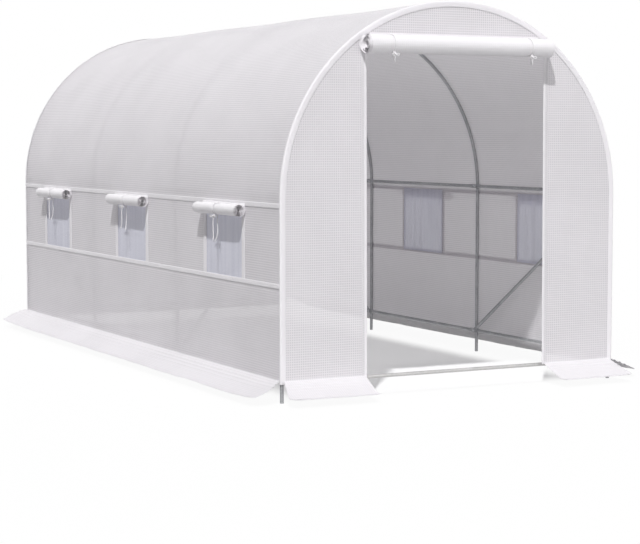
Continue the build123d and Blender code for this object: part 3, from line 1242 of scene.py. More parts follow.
@dataclass
class EndWall:
    """One end: a round-topped sheet, the front one cut out for the doorway and hemmed round it."""

    end: End
    finishes: Finishes
    sewing: Sewing
    step: float = 0.03
    rows_each: int = 48
    head_rows: int = 10
    billow: float = 0.00105
    hem_width: float = 0.0125
    hem_drop: float = 0.012
    hem_rise: float = 0.02
    turned_width: float = 0.027
    hem_offset: float = 0.0006
    hem_tuck: float = 0.004
    hem_wander: float = 0.0008
    seam_reach: float = 0.505
    lean: float = 0.010
    inset: float = 0.0015
    rim_reach: float = 0.15
    foot_reach: float = 0.2
    door_reach: float = 0.1
    head_reach: float = 0.05

    def aside(self, x: float, z: float) -> float:
        """How far the doorway's edges lean over at a height, less so towards the sheet's own edge."""
        if self.end is End.REAR:
            return 0.0
        share = max(0.0, min(1.0, (z - TUNNEL.base) / (TUNNEL.door_head - TUNNEL.base)))
        rim = TUNNEL.wall_edge - math.hypot(x, max(0.0, z - TUNNEL.spring))
        return -self.lean * (0.2 + 0.8 * share) * max(0.0, min(1.0, rim / self.rim_reach))

    def arch(self, x: float) -> float:
        """The height of the sheet's edge at a distance across."""
        return TUNNEL.spring + math.sqrt(max(0.0, TUNNEL.wall_edge**2 - x * x))

    def place(self, x: float, z: float) -> Vector:
        """A point of the sheet, drawn tight at its edge and a little slack inside."""
        radial = math.hypot(x, max(0.0, z - TUNNEL.spring))
        rim = max(0.0, 1 - radial / TUNNEL.wall_edge)
        foot = max(0.0, z - TUNNEL.base)
        ease = min(1.0, rim / self.rim_reach) * min(1.0, foot / self.foot_reach)
        if self.end is End.FRONT:
            beside = max(0.0, TUNNEL.door_left - x, x - TUNNEL.door_right)
            over = z - TUNNEL.door_head
            ease *= min(1.0, beside / self.door_reach if over < 0 else over / self.head_reach)
        swell = self.billow * ease * noise.noise(Vector((x * 2.3, z * 2.1, 5.0 * self.end.value)))
        line = TUNNEL.half_length - self.inset + swell
        return Vector((x + self.aside(x, z), self.end.value * line, z))

    def split(self, x: float) -> float:
        """The height of the line that runs on from the doorway's head, at a distance across."""
        door = TUNNEL.door_left if x < 0 else TUNNEL.door_right
        share = (TUNNEL.door_head - TUNNEL.base) / (self.arch(door) - TUNNEL.base)
        return TUNNEL.base + (self.arch(x) - TUNNEL.base) * share

    def build_film(self) -> bpy.types.Object:
        """Build the sheet from side panels and the part over the doorway."""
        left, right = (math.acos(x / TUNNEL.wall_edge) for x in (TUNNEL.door_left, TUNNEL.door_right))
        beside_left, beside_right, inner = (
            [TUNNEL.wall_edge * math.cos(angle) for angle in stations(ends, self.step)]
            for ends in ([left, math.pi], [0.0, right], [right, left])
        )
        lower_rows = [i / self.rows_each for i in range(self.rows_each + 1)]
        upper_rows = [i / self.head_rows for i in range(self.head_rows + 1)]

        def lower(row: float, x: float) -> Vector:
            """A point beside the doorway."""
            return self.place(x, TUNNEL.base + (self.split(x) - TUNNEL.base) * row)

        def upper(row: float, x: float) -> Vector:
            """A point over the line of the doorway's head, beside it."""
            return self.place(x, self.split(x) + (self.arch(x) - self.split(x)) * row)

        def over(row: float, x: float) -> Vector:
            """A point over the doorway."""
            return self.place(x, TUNNEL.door_head + (self.arch(x) - TUNNEL.door_head) * row)

        def below(row: float, x: float) -> Vector:
            """A point in the doorway's own place, for the end that has none."""
            return self.place(x, TUNNEL.base + (TUNNEL.door_head - TUNNEL.base) * row)

        patches = []
        for columns in (beside_left, beside_right):
            patches.append(Patch(lower_rows, columns, lower, self.flat_of(lower)))
            patches.append(Patch(upper_rows, columns, upper, self.flat_of(upper)))
        patches.append(Patch(upper_rows, inner, over, self.flat_of(over)))
        if self.end is End.REAR:
            patches.append(Patch(lower_rows, inner, below, self.flat_of(below)))
        outward = Vector((0, self.end.value, 0))
        return sew(f"{self.end.word}_wall_film", patches, self.finishes.film, lambda p: outward)

    @staticmethod
    def flat_of(place: Callable[[float, float], Vector]) -> Callable[[float, float], tuple[float, float]]:
        """The cloth map of a wall: a point's own X and Z."""
        return lambda row, x: (place(row, x).x, place(row, x).z)

    def build_hem(self) -> tuple[bpy.types.Object, bpy.types.Object, bpy.types.Object]:
        """Build both edges of the doorway, turned film under tape, the strap over it, and stitches."""
        outward = Vector((0, -1, 0))
        straps, turned, rows = [], [], []
        ends = [TUNNEL.base - self.hem_drop, TUNNEL.door_head + self.hem_rise]
        heights = stations(ends, self.sewing.step)
        layers = (
            (self.hem_width, -self.hem_offset, straps, self.finishes.webbing),
            (self.turned_width, self.hem_offset, turned, self.finishes.skirt),
        )
        for way, door in ((-1, TUNNEL.door_left), (1, TUNNEL.door_right)):
            for width, back, made, finish in layers:
                x = door + way * (width / 2 - self.hem_tuck)
                line = []
                for z in heights:
                    wander = self.hem_wander * noise.noise(Vector((z * 4, way, 2)))
                    line.append(Vector((x + self.aside(x, z) + wander, back - TUNNEL.half_length, z)))
                made.append(self.sewing.strap("hem", line, width, outward, finish))
                rows += self.sewing.rows(line, width, outward)
        seam = stations([-self.seam_reach, self.seam_reach], self.sewing.step)
        line = [Vector((x, -TUNNEL.half_length, TUNNEL.door_seam)) for x in seam]
        straps.append(self.sewing.strap("seam", line, TUNNEL.strap_width, outward))
        stitches = self.sewing.stitch("doorway_stitches", rows)
        return join("doorway_hem", straps), join("doorway_turned_edge", turned), stitches

    def build(self) -> None:
        """Build the end, attach its pieces to the frame and hide the solids that they stand in for."""
        film = self.build_film()
        front = self.end is End.FRONT
        nodes = ["front_wall_left", "front_wall_right", "front_wall_top"] if front else ["rear_wall"]
        hand_over(film, "cover_film", *nodes)
        area = 2 * TUNNEL.wall_edge * (TUNNEL.spring - TUNNEL.base) + math.pi * TUNNEL.wall_edge**2 / 2
        if front:
            area -= TUNNEL.door_width * (TUNNEL.door_head - TUNNEL.base)
            hem, turned, stitches = self.build_hem()
            hand_over(hem, "webbing")
            hand_over(turned, "cover_film")
            hand_over(stitches, "webbing")


@dataclass
class EdgeBinding:
    """Webbing folded over the cover's front or rear edge, with a row of stitches on each face."""

    end: End
    finishes: Finishes
    sewing: Sewing
    width: float = 0.014
    lip: float = 0.028
    puff: float = 0.0012
    foot: float = 0.094
    gap: float = 0.0006
    thickness: float = 0.001

    def beside(self, spot: Vector, off: float, back: float) -> Vector:
        """A point beside the end's outline.

        Args:
            spot: a point of the outline: its side and height on a leg, with Z below 0 its way on the arch.
            off: how far outside the outline.
            back: how far inside the end.

        Returns:
            The point.
        """
        radius = TUNNEL.half_width + off
        height = spot.z if spot.z >= 0 else TUNNEL.spring + spot.y * radius
        return Vector((spot.x * radius, self.end.value * (TUNNEL.half_length - back), height))

    def build(self) -> None:
        """Build the binding and its stitches."""
        heights = stations([self.foot, self.foot + 0.001, TUNNEL.spring], 0.04)[:-1]
        outline = [Vector((-1, 0, z)) for z in heights]
        outline += [
            Vector((-math.cos(angle), math.sin(angle), -1)) for angle in stations([0.0, math.pi], 0.035)
        ]
        outline += [Vector((1, 0, z)) for z in reversed(heights)]
        section = [
            (self.gap, self.width),
            (0.0007, self.width - 0.0006),
            (self.gap + self.puff * 0.5, self.width * 0.7),
            (self.gap + self.puff, self.width * 0.45),
            (self.gap + self.puff, 0.004),
            (0.0002 + self.puff, 0.0008),
            (-0.0012, -0.0004 - self.puff * 0.6),
            (-0.004, -self.gap - self.puff),
            (-self.lip * 0.4, -self.gap - self.puff * 0.9),
            (-self.lip * 0.75, -self.gap - self.puff * 0.5),
            (-self.lip + 0.0006, -0.0005),
            (-self.lip, -0.0004),
        ]

        def place(row: float, column: float) -> Vector:
            """A point of the binding, from its place in the section and along the outline."""
            return self.beside(outline[int(column)], *section[int(row)])

        run = [0.0]
        for before, after in pairwise(range(len(outline))):
            run.append(run[-1] + (place(0, after) - place(0, before)).length)
        width = [0.0]
        for (a, b), (c, d) in pairwise(section):
            width.append(width[-1] + math.hypot(c - a, d - b))
        patch = Patch(
            range(len(section)),
            range(len(outline)),
            place,
            lambda row, column: (width[int(row)], run[int(column)]),
        )
        middle = Vector((0, self.end.value * (TUNNEL.half_length - 0.02), TUNNEL.spring))
        binding = sew(
            f"{self.end.word}_edge_binding",
            [patch],
            self.finishes.webbing,
            lambda p: Vector((p.x, p.y - middle.y, max(0.0, p.z - TUNNEL.spring))),
        )
        thicken(binding, self.thickness)
        hand_over(binding, "webbing", f"{self.end.word}_binding")
        inset = self.sewing.inset
        lines = ((0.0014, self.width - inset), (-self.lip + inset, -0.0012))
        rows = [[self.beside(spot, off, back) for spot in outline] for off, back in lines]
        hand_over(self.sewing.stitch(f"{self.end.word}_binding_stitches", rows), "webbing")


@dataclass(frozen=True)
class SkirtEnd:
    """One end of a skirt: where it starts at the wall, where it would end at the edge, and its rounding."""

    root: float
    tip: float
    corner: float = 0.0

    def place(self, out: float, reach: float) -> float:
        """Where the end lies along the skirt at a distance out from the wall."""
        way = math.copysign(1.0, self.tip - self.root) if self.tip != self.root else 0.0
        rise = abs(self.tip - self.root) / reach
        if self.corner == 0.0:
            return self.root + way * rise * out
        slant = math.hypot(1.0, rise)
        middle = reach - self.corner
        if out <= middle - self.corner * rise / slant:
            return self.root + way * rise * out
        centre = rise * middle - self.corner * slant
        return self.root + way * (centre + math.sqrt(max(0.0, self.corner**2 - (out - middle) ** 2)))


@dataclass
class Skirt:
    """The cover's lower edge, folded out to lie flat, with a wavy edge and flared, rounded ends."""

    name: str
    node: str
    outward: Vector
    line: float
    low: SkirtEnd
    high: SkirtEnd
    finishes: Finishes
    reach: float = 0.185
    flat: float = 0.035
    height: float = 0.0395
    fold_height: float = 0.110
    fold: float = 0.007
    crease: float = 0.0033
    crease_pitch: float = 0.024
    crease_line: float = 0.045
    least_crease: float = 0.35
    crease_wander: float = 0.005
    curl: float = 0.015
    curl_start: float = 1.6
    curl_run: float = 0.42
    lift: float = 0.006
    corner_lift: float = 0.004
    ripple: float = 0.0018
    thickness: float = 0.0009
    wave: float = 0.005
    step: float = 0.022

    def section(self) -> list[tuple[float, float]]:
        """The skirt's section, from the wall's foot to its edge: distances out and heights."""
        run = self.reach - self.flat
        slope = math.atan2(self.fold_height - self.height, run)
        turn = math.pi / 2 - slope
        lead = self.fold * math.tan(turn / 2)
        points = [(0.0, TUNNEL.base)]
        for angle in stations([0.0, turn], 0.16)[1:]:
            height = self.fold_height + lead - self.fold * math.sin(angle)
            points.append((self.fold * (1 - math.cos(angle)), min(TUNNEL.base - 0.0002, height)))
        start, height = points[-1]
        for out in stations([start, 0.11, run], 0.0034)[1:]:
            share = (out - start) / (run - start)
            points.append((out, height + (self.height - height) * share))
        for share in (0.2, 0.4, 0.56, 0.7, 0.81, 0.89, 0.95, 0.985, 1.0):
            points.append((run + self.flat * share, self.height))
        return points

    @property
    def aside(self) -> Vector:
        """The way along the skirt."""
        return self.outward.cross(UP)

    def creased(self, along: float) -> float:
        """How deep the folds from packing are, deepest towards a long skirt's front end."""
        if abs(self.outward.x) < 0.5:
            return self.least_crease
        front = (TUNNEL.half_length - self.aside.y * along) / (2 * TUNNEL.half_length)
        return self.least_crease + (1 - self.least_crease) * min(1.0, max(0.0, front)) ** 2

    def curled(self, along: float) -> float:
        """How far a long skirt has risen, from 0 to 1 at its rear end."""
        if abs(self.outward.x) < 0.5:
            return 0.0
        return min(1.0, max(0.0, (self.aside.y * along - self.curl_start) / self.curl_run)) ** 2

    def build(self) -> bpy.types.Object:
        aside = self.aside
        seed = self.outward.x * 2 + self.outward.y * 5
        section = self.section()
        run = [0.0]
        for (a, b), (c, d) in pairwise(section):
            run.append(run[-1] + math.hypot(c - a, d - b))

        def spot(row: float, share: float) -> tuple[float, float]:
            """A point's distance out and its place along."""
            out = section[int(row)][0]
            low, high = self.low.place(out, self.reach), self.high.place(out, self.reach)
            return out, low + (high - low) * share

        def place(row: float, share: float) -> Vector:
            """A point of the skirt, from its row in the section and its share of the way along."""
            out, along = spot(row, share)
            height = section[int(row)][1]
            free = out / self.reach
            edge = self.wave * noise.noise(Vector((along * 4.3, self.line * 3, seed + 1)))
            wander = self.crease_wander * noise.noise(Vector((along * 1.3, 0.4, seed)))
            lines = (out + wander) / self.crease_pitch
            pleat = math.sin(math.tau * lines) + 0.3 * math.sin(2 * math.tau * lines)
            pleat *= self.crease * math.exp(-(((out - self.crease_line) / self.crease_line) ** 2))
            pleat *= self.creased(along) * min(1.0, out / 0.012)
            lift = self.lift * max(0.0, noise.noise(Vector((along * 2.7, 2.2, seed)))) * free**2
            lift += self.corner_lift * free * max(0.0, abs(2 * share - 1) - 0.93) / 0.07
            lift += self.curl * self.curled(along) * min(1.0, out / 0.02)
            ripple = self.ripple * noise.noise(Vector((along * 8.0, out * 7, seed)))
            if row == 0:
                return self.outward * self.line + aside * along + UP * TUNNEL.base
            out += (edge * free - 0.001) * min(1.0, free * 3)
            height += pleat + lift + ripple * math.sin(math.pi * free)
            return self.outward * (self.line + out) + aside * along + UP * height

        rim = 0.05 / (self.high.tip - self.low.tip)
        edge = rim * 0.02
        steps = (
            (0.0, edge, 1.0),
            (edge, rim, 0.25),
            (rim, 1 - rim, self.step / 0.05),
            (1 - rim, 1 - edge, 0.25),
            (1 - edge, 1.0, 1.0),
        )
        columns = [0.0]
        for start, end, share in steps:
            columns += stations([start, end], share * rim)[1:]
        rows = range(len(section))
        patch = Patch(rows, columns, place, lambda row, share: (spot(row, share)[1], -run[int(row)]))
        skirt = sew(self.name, [patch], self.finishes.skirt, lambda p: self.outward + UP)
        thicken(skirt, self.thickness)
        hand_over(skirt, "skirt_film", self.node)
        widths = [spot(row, 1.0)[1] - spot(row, 0.0)[1] for row in rows]
        return skirt


@dataclass
class Skirts:
    """The five skirts, with the ends of each kind: where they start, where they end, their rounding."""

    finishes: Finishes
    long_end: tuple[float, float, float] = (1.985, 2.090, 0.080)
    short_end: tuple[float, float, float] = (0.982, 1.036, 0.043)
    right_of_door: tuple[float, float, float] = (0.522, 0.538, 0.004)
    left_of_door: tuple[float, float, float] = (-0.557, -0.568, 0.004)
    inset: float = 0.0015

    @staticmethod
    def both_ends(root: float, tip: float, corner: float) -> tuple[SkirtEnd, SkirtEnd]:
        """The two ends of a skirt that is the same at both."""
        return SkirtEnd(-root, -tip, corner), SkirtEnd(root, tip, corner)

    def build(self) -> None:
        """Build every skirt."""
        long_ends = self.both_ends(*self.long_end)
        low, high = self.both_ends(*self.short_end)
        line = TUNNEL.half_length - self.inset
        for name, outward, start, first, second in (
            ("left_skirt", (-1, 0, 0), TUNNEL.film_line, *long_ends),
            ("right_skirt", (1, 0, 0), TUNNEL.film_line, *long_ends),
            ("rear_skirt", (0, 1, 0), line, low, high),
            ("front_left_skirt", (0, -1, 0), line, SkirtEnd(*self.right_of_door), high),
            ("front_right_skirt", (0, -1, 0), line, low, SkirtEnd(*self.left_of_door)),
        ):
            Skirt(f"{name}_film", name, Vector(outward), start, first, second, self.finishes).build()


@dataclass
class RolledCover:
    """A film cover wound up under its seam, drawn in where its ties go round it."""

    name: str
    node: str
    centre: Vector
    out: Vector
    radius: float
    length: float
    seam: float
    pitch: float
    turns: float
    ties: tuple[float, ...]
    finishes: Finishes
    flat: tuple[float, float]
    sag: float = 0.010
    swell: float = 0.002
    nip: float = 0.003
    nip_reach: float = 0.009
    gather: float = 0.020
    gather_reach: float = 0.035
    softness: float = 0.012
    spread: float = 0.004
    flare: float = 0.012
    film: float = 0.0007
    segments: int = 30
    step: float = 0.022
    tie_reach: float = 0.02
    tie_step: float = 0.005

    @property
    def along(self) -> Vector:
        """The roll's own axis."""
        return Vector((0, 1, 0)) if abs(self.out.x) > 0.5 else Vector((1, 0, 0))

    @property
    def middle(self) -> Vector:
        """The centre of the loose roll, which hangs a little lower and is thicker than its plain solid."""
        return self.centre + self.out * self.swell - UP * self.sag

    @property
    def loose(self) -> float:
        """The loose roll's radius."""
        return self.radius + self.swell

    def shrink(self, turn: float, run: float) -> float:
        """How much nearer the centre the film lies than a plain winding, as a share."""
        spot = Vector((run * 6.0, math.cos(turn) * 0.7, math.sin(turn) * 0.7))
        soft = self.softness * (1 + noise.noise(self.centre * 3.7 + spot))
        for tie in self.ties:
            gap = abs(run - tie)
            soft += self.nip / self.loose * math.exp(-((gap / self.nip_reach) ** 2))
            crease = 0.5 + 0.5 * math.sin(5 * turn + 40 * gap)
            soft += self.gather * crease * math.exp(-gap / self.gather_reach)
        return soft

    def place(self, row: float, column: float) -> Vector:
        """A point of the film.

        Args:
            row: its angle in the winding, or from -1 to 0 its share of the way down from the seam.
            column: its place along the roll, from the middle.

        Returns:
            The point.
        """
        share = column / (self.length / 2)
        wander = noise.noise(Vector((row * 0.55, 3.0 * math.copysign(1, column), self.centre.y)))
        shift = self.spread * (wander + 0.6 * math.sin(row * 0.21 + self.centre.y * 3))
        run = column + shift * share**6 if row > 0 else column
        fall = 1 + row if row < 0 else max(0.0, 1 - row / 2.2)
        run += math.copysign(self.flare * fall, column) * share**6
        spot = self.middle + self.along * run
        if row <= 0:
            drop = (self.seam - self.middle.z) * (-row)
            return spot - self.out * self.loose * (1 - self.shrink(0, run)) + UP * drop
        radius = (self.loose - self.pitch * row / math.tau) * (1 - self.shrink(row, run))
        around = -self.out * math.cos(row) - UP * math.sin(row)
        return spot + around * radius

    def build(self) -> bpy.types.Object:
        """Build the roll, attach it to the frame and hide its solid."""
        half = self.length / 2
        near = [tie + way for tie in self.ties for way in (-self.tie_reach, self.tie_reach)]
        rims = [way * (half - edge) for way in (-1, 1) for edge in (0.0, 0.0008, 0.004)]
        stops = sorted({*rims, *self.ties, *near})
        columns = [stops[0]]
        for low, high in pairwise(stops):
            close_by = high - low <= self.tie_reach + 0.0001
            columns += stations([low, high], self.tie_step if close_by else self.step)[1:]
        angles = stations([0.0, math.tau * self.turns], math.tau / self.segments)
        rows = [-1.0, -0.6, -0.3, *angles]
        trace = [self.place(row, 0.31 * half) for row in rows]
        depth = [0.0]
        for before, after in pairwise(trace):
            depth.append(depth[-1] + (after - before).length)
        fallen = dict(zip(rows, depth))
        patch = Patch(rows, columns, self.place, lambda row, column: (column, fallen[row]))
        middle = self.middle
        roll = sew(self.name, [patch], self.finishes.rolled, lambda p: p - middle)
        thicken(roll, self.film)
        hand_over(roll, "rolled_film", self.node)
        log.info("%s: %.3f m of film wound", self.name, depth[-1])
        return roll


@dataclass
class RollTie:
    """The tie of a rolled cover: a strand round the roll, a bow under it, and a loose tail."""

    name: str
    roll: RolledCover
    at: float
    route: Sequence[tuple[float, float, float]]
    swing: tuple[float, float]
    finishes: Finishes
    length: float
    diameter: float = 0.005
    knot_drop: float = 0.0055
    knot_gap: float = 0.0073
    bow: float = 1.0
    core_radius: float = 0.0042
    strand_start: float = 0.25
    strand_end: float = math.radians(290)
    strand_step: float = 0.14
    strand_ease: float = 0.6
    seat: tuple[float, float, float] = (0.0, 24.0, -12.0)

    @property
    def knot(self) -> Vector:
        """The middle of the knot."""
        below = self.roll.centre.z - self.roll_radius - self.knot_drop
        middle = self.roll.centre + self.roll.along * self.at
        return Vector((middle.x, middle.y, below))

    @property
    def roll_radius(self) -> float:
        """The roll's radius as the solids have it."""
        return self.roll.radius + ROLL_INSET

    def local(self, points: Sequence[tuple[float, float, float]]) -> list[Vector]:
        """Points given in millimetres along the roll, out from the wall and up, from the knot's middle."""
        return [
            self.knot + (self.roll.along * a + self.roll.out * b + UP * c) * MILLIMETRE for a, b, c in points
        ]

    def build_tail(self) -> bpy.types.Object:
        """Build the loose tail on its route's spline."""
        top = self.knot - UP * self.knot_gap
        route = [
            top + Vector((x * self.swing[0], y * self.swing[1], z)) * MILLIMETRE for x, y, z in self.route
        ]
        self.line = smooth_line(route)
        tail = tube(self.name, self.line, self.diameter / 2, self.finishes.cord, self.roll.out)
        return hand_over(tail, "tie_cord", self.name.removesuffix("_cord"))

    def bow_place(self, points: Sequence[tuple[float, float, float]]) -> list[Vector]:
        """Points given in millimetres as for local(), from the bow's own knot, in front of the tail's."""
        along, out, up = self.seat
        return self.local([(a + along, b + out, c + up) for a, b, c in points])

    @property
    def turn_centre(self) -> Vector:
        """The middle of the strand's turn round the roll."""
        return self.roll.middle + self.roll.along * (self.at + self.seat[0] * MILLIMETRE)

    @property
    def turn_reach(self) -> float:
        """The radius of the strand's turn round the roll."""
        tie = self.at + self.seat[0] * MILLIMETRE
        return self.roll.loose * (1 - self.roll.shrink(math.pi, tie)) + self.diameter * 0.35

    def build_strand(self) -> None:
        """Build the strand round the roll."""
        strand = []
        for angle in stations([self.strand_start, self.strand_end], self.strand_step):
            ease = min(1.0, angle / self.strand_ease)
            around = -self.roll.out * math.cos(angle) - UP * math.sin(angle)
            strand.append(self.turn_centre + around * (self.turn_reach * (0.9 + 0.1 * ease)))
        name = self.name.replace("_tie_cord", "_strand")
        turn = tube(name, strand, self.diameter / 2, self.finishes.cord, self.roll.along)
        hand_over(turn, "tie_cord", self.roll.node)

    def build_bow(self) -> bpy.types.Object:
        """Build the knot, the bow's loops, its end, and the links to the strand and the tail."""
        radius = self.diameter / 2
        along, out = self.roll.along, self.roll.out
        parts = []

        def add(label: str, line: Sequence[Vector], thickness: float, across: Vector) -> None:
            """Add a cord along a line."""
            parts.append(tube(label, line, thickness, self.finishes.cord, across))

        knot = self.bow_place([(0, 1, 0)])[0]
        touch = self.turn_centre + (knot - self.turn_centre).normalized() * self.turn_reach
        for way in (-1, 1):
            aside = along * (way * 0.003)
            near, far = knot.lerp(touch, 0.35) + aside, knot.lerp(touch, 0.8) + aside * 1.4
            add("hang", smooth_line([knot, near, far, touch + aside]), radius, out)
        link = [*self.bow_place([(0, 0, -2), (0, -6, -5)]), *self.local([(0, 6, -9), (0, 1, -8)])]
        add("link", smooth_line(link), radius, along)
        for way in (-1, 1):
            lean = 1.0 if way < 0 else 0.8
            loop = [
                (0, 2, 0),
                (way * 9 * self.bow, 5, 4),
                (way * 20 * self.bow, 8, 5 * lean),
                (way * 27 * self.bow, 8, 0),
                (way * 22 * self.bow, 6, -7 * lean),
                (way * 11 * self.bow, 3, -5),
                (0, 2, -1),
            ]
            add("loop", smooth_line(self.bow_place(loop)), radius, out)
        way = self.swing[1]
        spare = [(0, 1, -1), (1, 4, -20), (1, 4, -52), (0, 3, -84), (way * -4, 4, -108), (way * -9, 8, -128)]
        if self.length < 0.1:
            spare = [(0, 1, -1), (-1, 3, -12), (-3, 2, -24), (-2, 0, -38)]
        add("spare", smooth_line(self.bow_place(spare)), radius, out)
        wrap = []
        for i in range(29):
            turn = math.tau * 1.6 * i / 28
            wrap.append((-4.2 + 8.4 * i / 28, 2 + 4.6 * math.cos(turn), -1.0 + 4.6 * math.sin(turn)))
        add("wrap", self.bow_place(wrap), radius * 0.95, along)
        core = [(-3.2, 2, -1), (-1.5, 2.2, -1), (0, 2.2, -1), (1.5, 2.2, -1), (3.2, 2, -1)]
        add("core", self.bow_place(core), self.core_radius, out)
        bow = join(self.name.replace("_tie_cord", "_bow"), parts)
        return hand_over(bow, "tie_cord", self.roll.node)

    def build(self) -> None:
        """Build the tie's strand, bow and tail, and attach them to the frame."""
        self.build_strand()
        bow = self.build_bow()
        tail = self.build_tail()


WINDOW_TAIL = [(0, 0, 0), (-2, 3, -30), (1, 5, -62), (0, 2, -94), (-5, 7, -122), (-12, 16, -140)]
DOOR_TAIL = [(0, 0, 0), (-3, 2, -14), (-2, -4, -27), (2, -9, -38)]


@dataclass
class WindowCovers:
    """The six rolled window covers with their ties."""

    finishes: Finishes
    radius: float = 0.031
    centre_x: float = 1.0325
    centre_z: float = 0.948
    length: float = 0.53
    drop: float = 0.48
    pitch: float = 0.0056
    turns: float = 4.55
    tail: float = 0.1442
    bow: float = 1.35

    def build(self) -> None:
        """Build every roll and tie."""
        for side in Side:
            for label, y, swing in zip(("front", "middle", "rear"), TUNNEL.windows, (1, -1, 1)):
                stem = f"{side.word}_{label}_window"
                roll = RolledCover(
                    f"{stem}_cover",
                    f"{stem}_roll",
                    Vector((side.value * self.centre_x, y, self.centre_z)),
                    Vector((side.value, 0, 0)),
                    self.radius - ROLL_INSET,
                    self.length,
                    TUNNEL.upper_seam,
                    pitch=self.pitch,
                    turns=self.turns,
                    ties=(0.0,),
                    finishes=self.finishes,
                    flat=(self.length, self.drop),
                )
                roll.build()
                tie = RollTie(
                    f"{stem}_tie_cord",
                    roll,
                    0.0,
                    WINDOW_TAIL,
                    (-side.value, swing),
                    self.finishes,
                    self.tail,
                    bow=self.bow,
                )
                tie.build()


@dataclass
class DoorCover:
    """The rolled door with its two ties."""

    finishes: Finishes
    radius: float = 0.043
    centre_y: float = -2.0445
    centre_z: float = 1.778
    length: float = 1.085
    shift: float = 0.021
    flat: tuple[float, float] = (1.10, 1.68)
    pitch: float = 0.0033
    turns: float = 9.6
    ties: tuple[float, float] = (-0.388, 0.430)
    tie_lean: float = -0.018
    tail: float = 0.041
    bow: float = 0.75

    def build(self) -> None:
        """Build the roll and its ties."""
        roll = RolledCover(
            "door_cover",
            "door_roll",
            Vector((TUNNEL.door_middle - self.shift, self.centre_y, self.centre_z)),
            Vector((0, -1, 0)),
            self.radius - ROLL_INSET,
            self.length,
            TUNNEL.door_seam,
            pitch=self.pitch,
            turns=self.turns,
            ties=tuple(tie + self.tie_lean for tie in self.ties),
            finishes=self.finishes,
            flat=self.flat,
            sag=0.0065,
            swell=0.0065,
            spread=0.008,
            flare=0.022,
            segments=26,
            step=0.028,
        )
        roll.build()
        for label, at, swing in zip(("left", "right"), self.ties, (1, -1)):
            RollTie(
                f"{label}_door_tie_cord",
                roll,
                at,
                DOOR_TAIL,
                (swing, 1),
                self.finishes,
                self.tail,
                bow=self.bow,
                seat=(self.tie_lean / MILLIMETRE, 47.0, -10.0),
            ).build()


WING = (
    (0.0038, -0.0012),
    (0.0085, -0.0035),
    (0.0128, -0.0085),
    (0.0132, -0.0118),
    (0.0112, -0.0128),
    (0.0080, -0.0106),
    (0.0050, -0.0050),
    (0.0036, -0.0044),
)


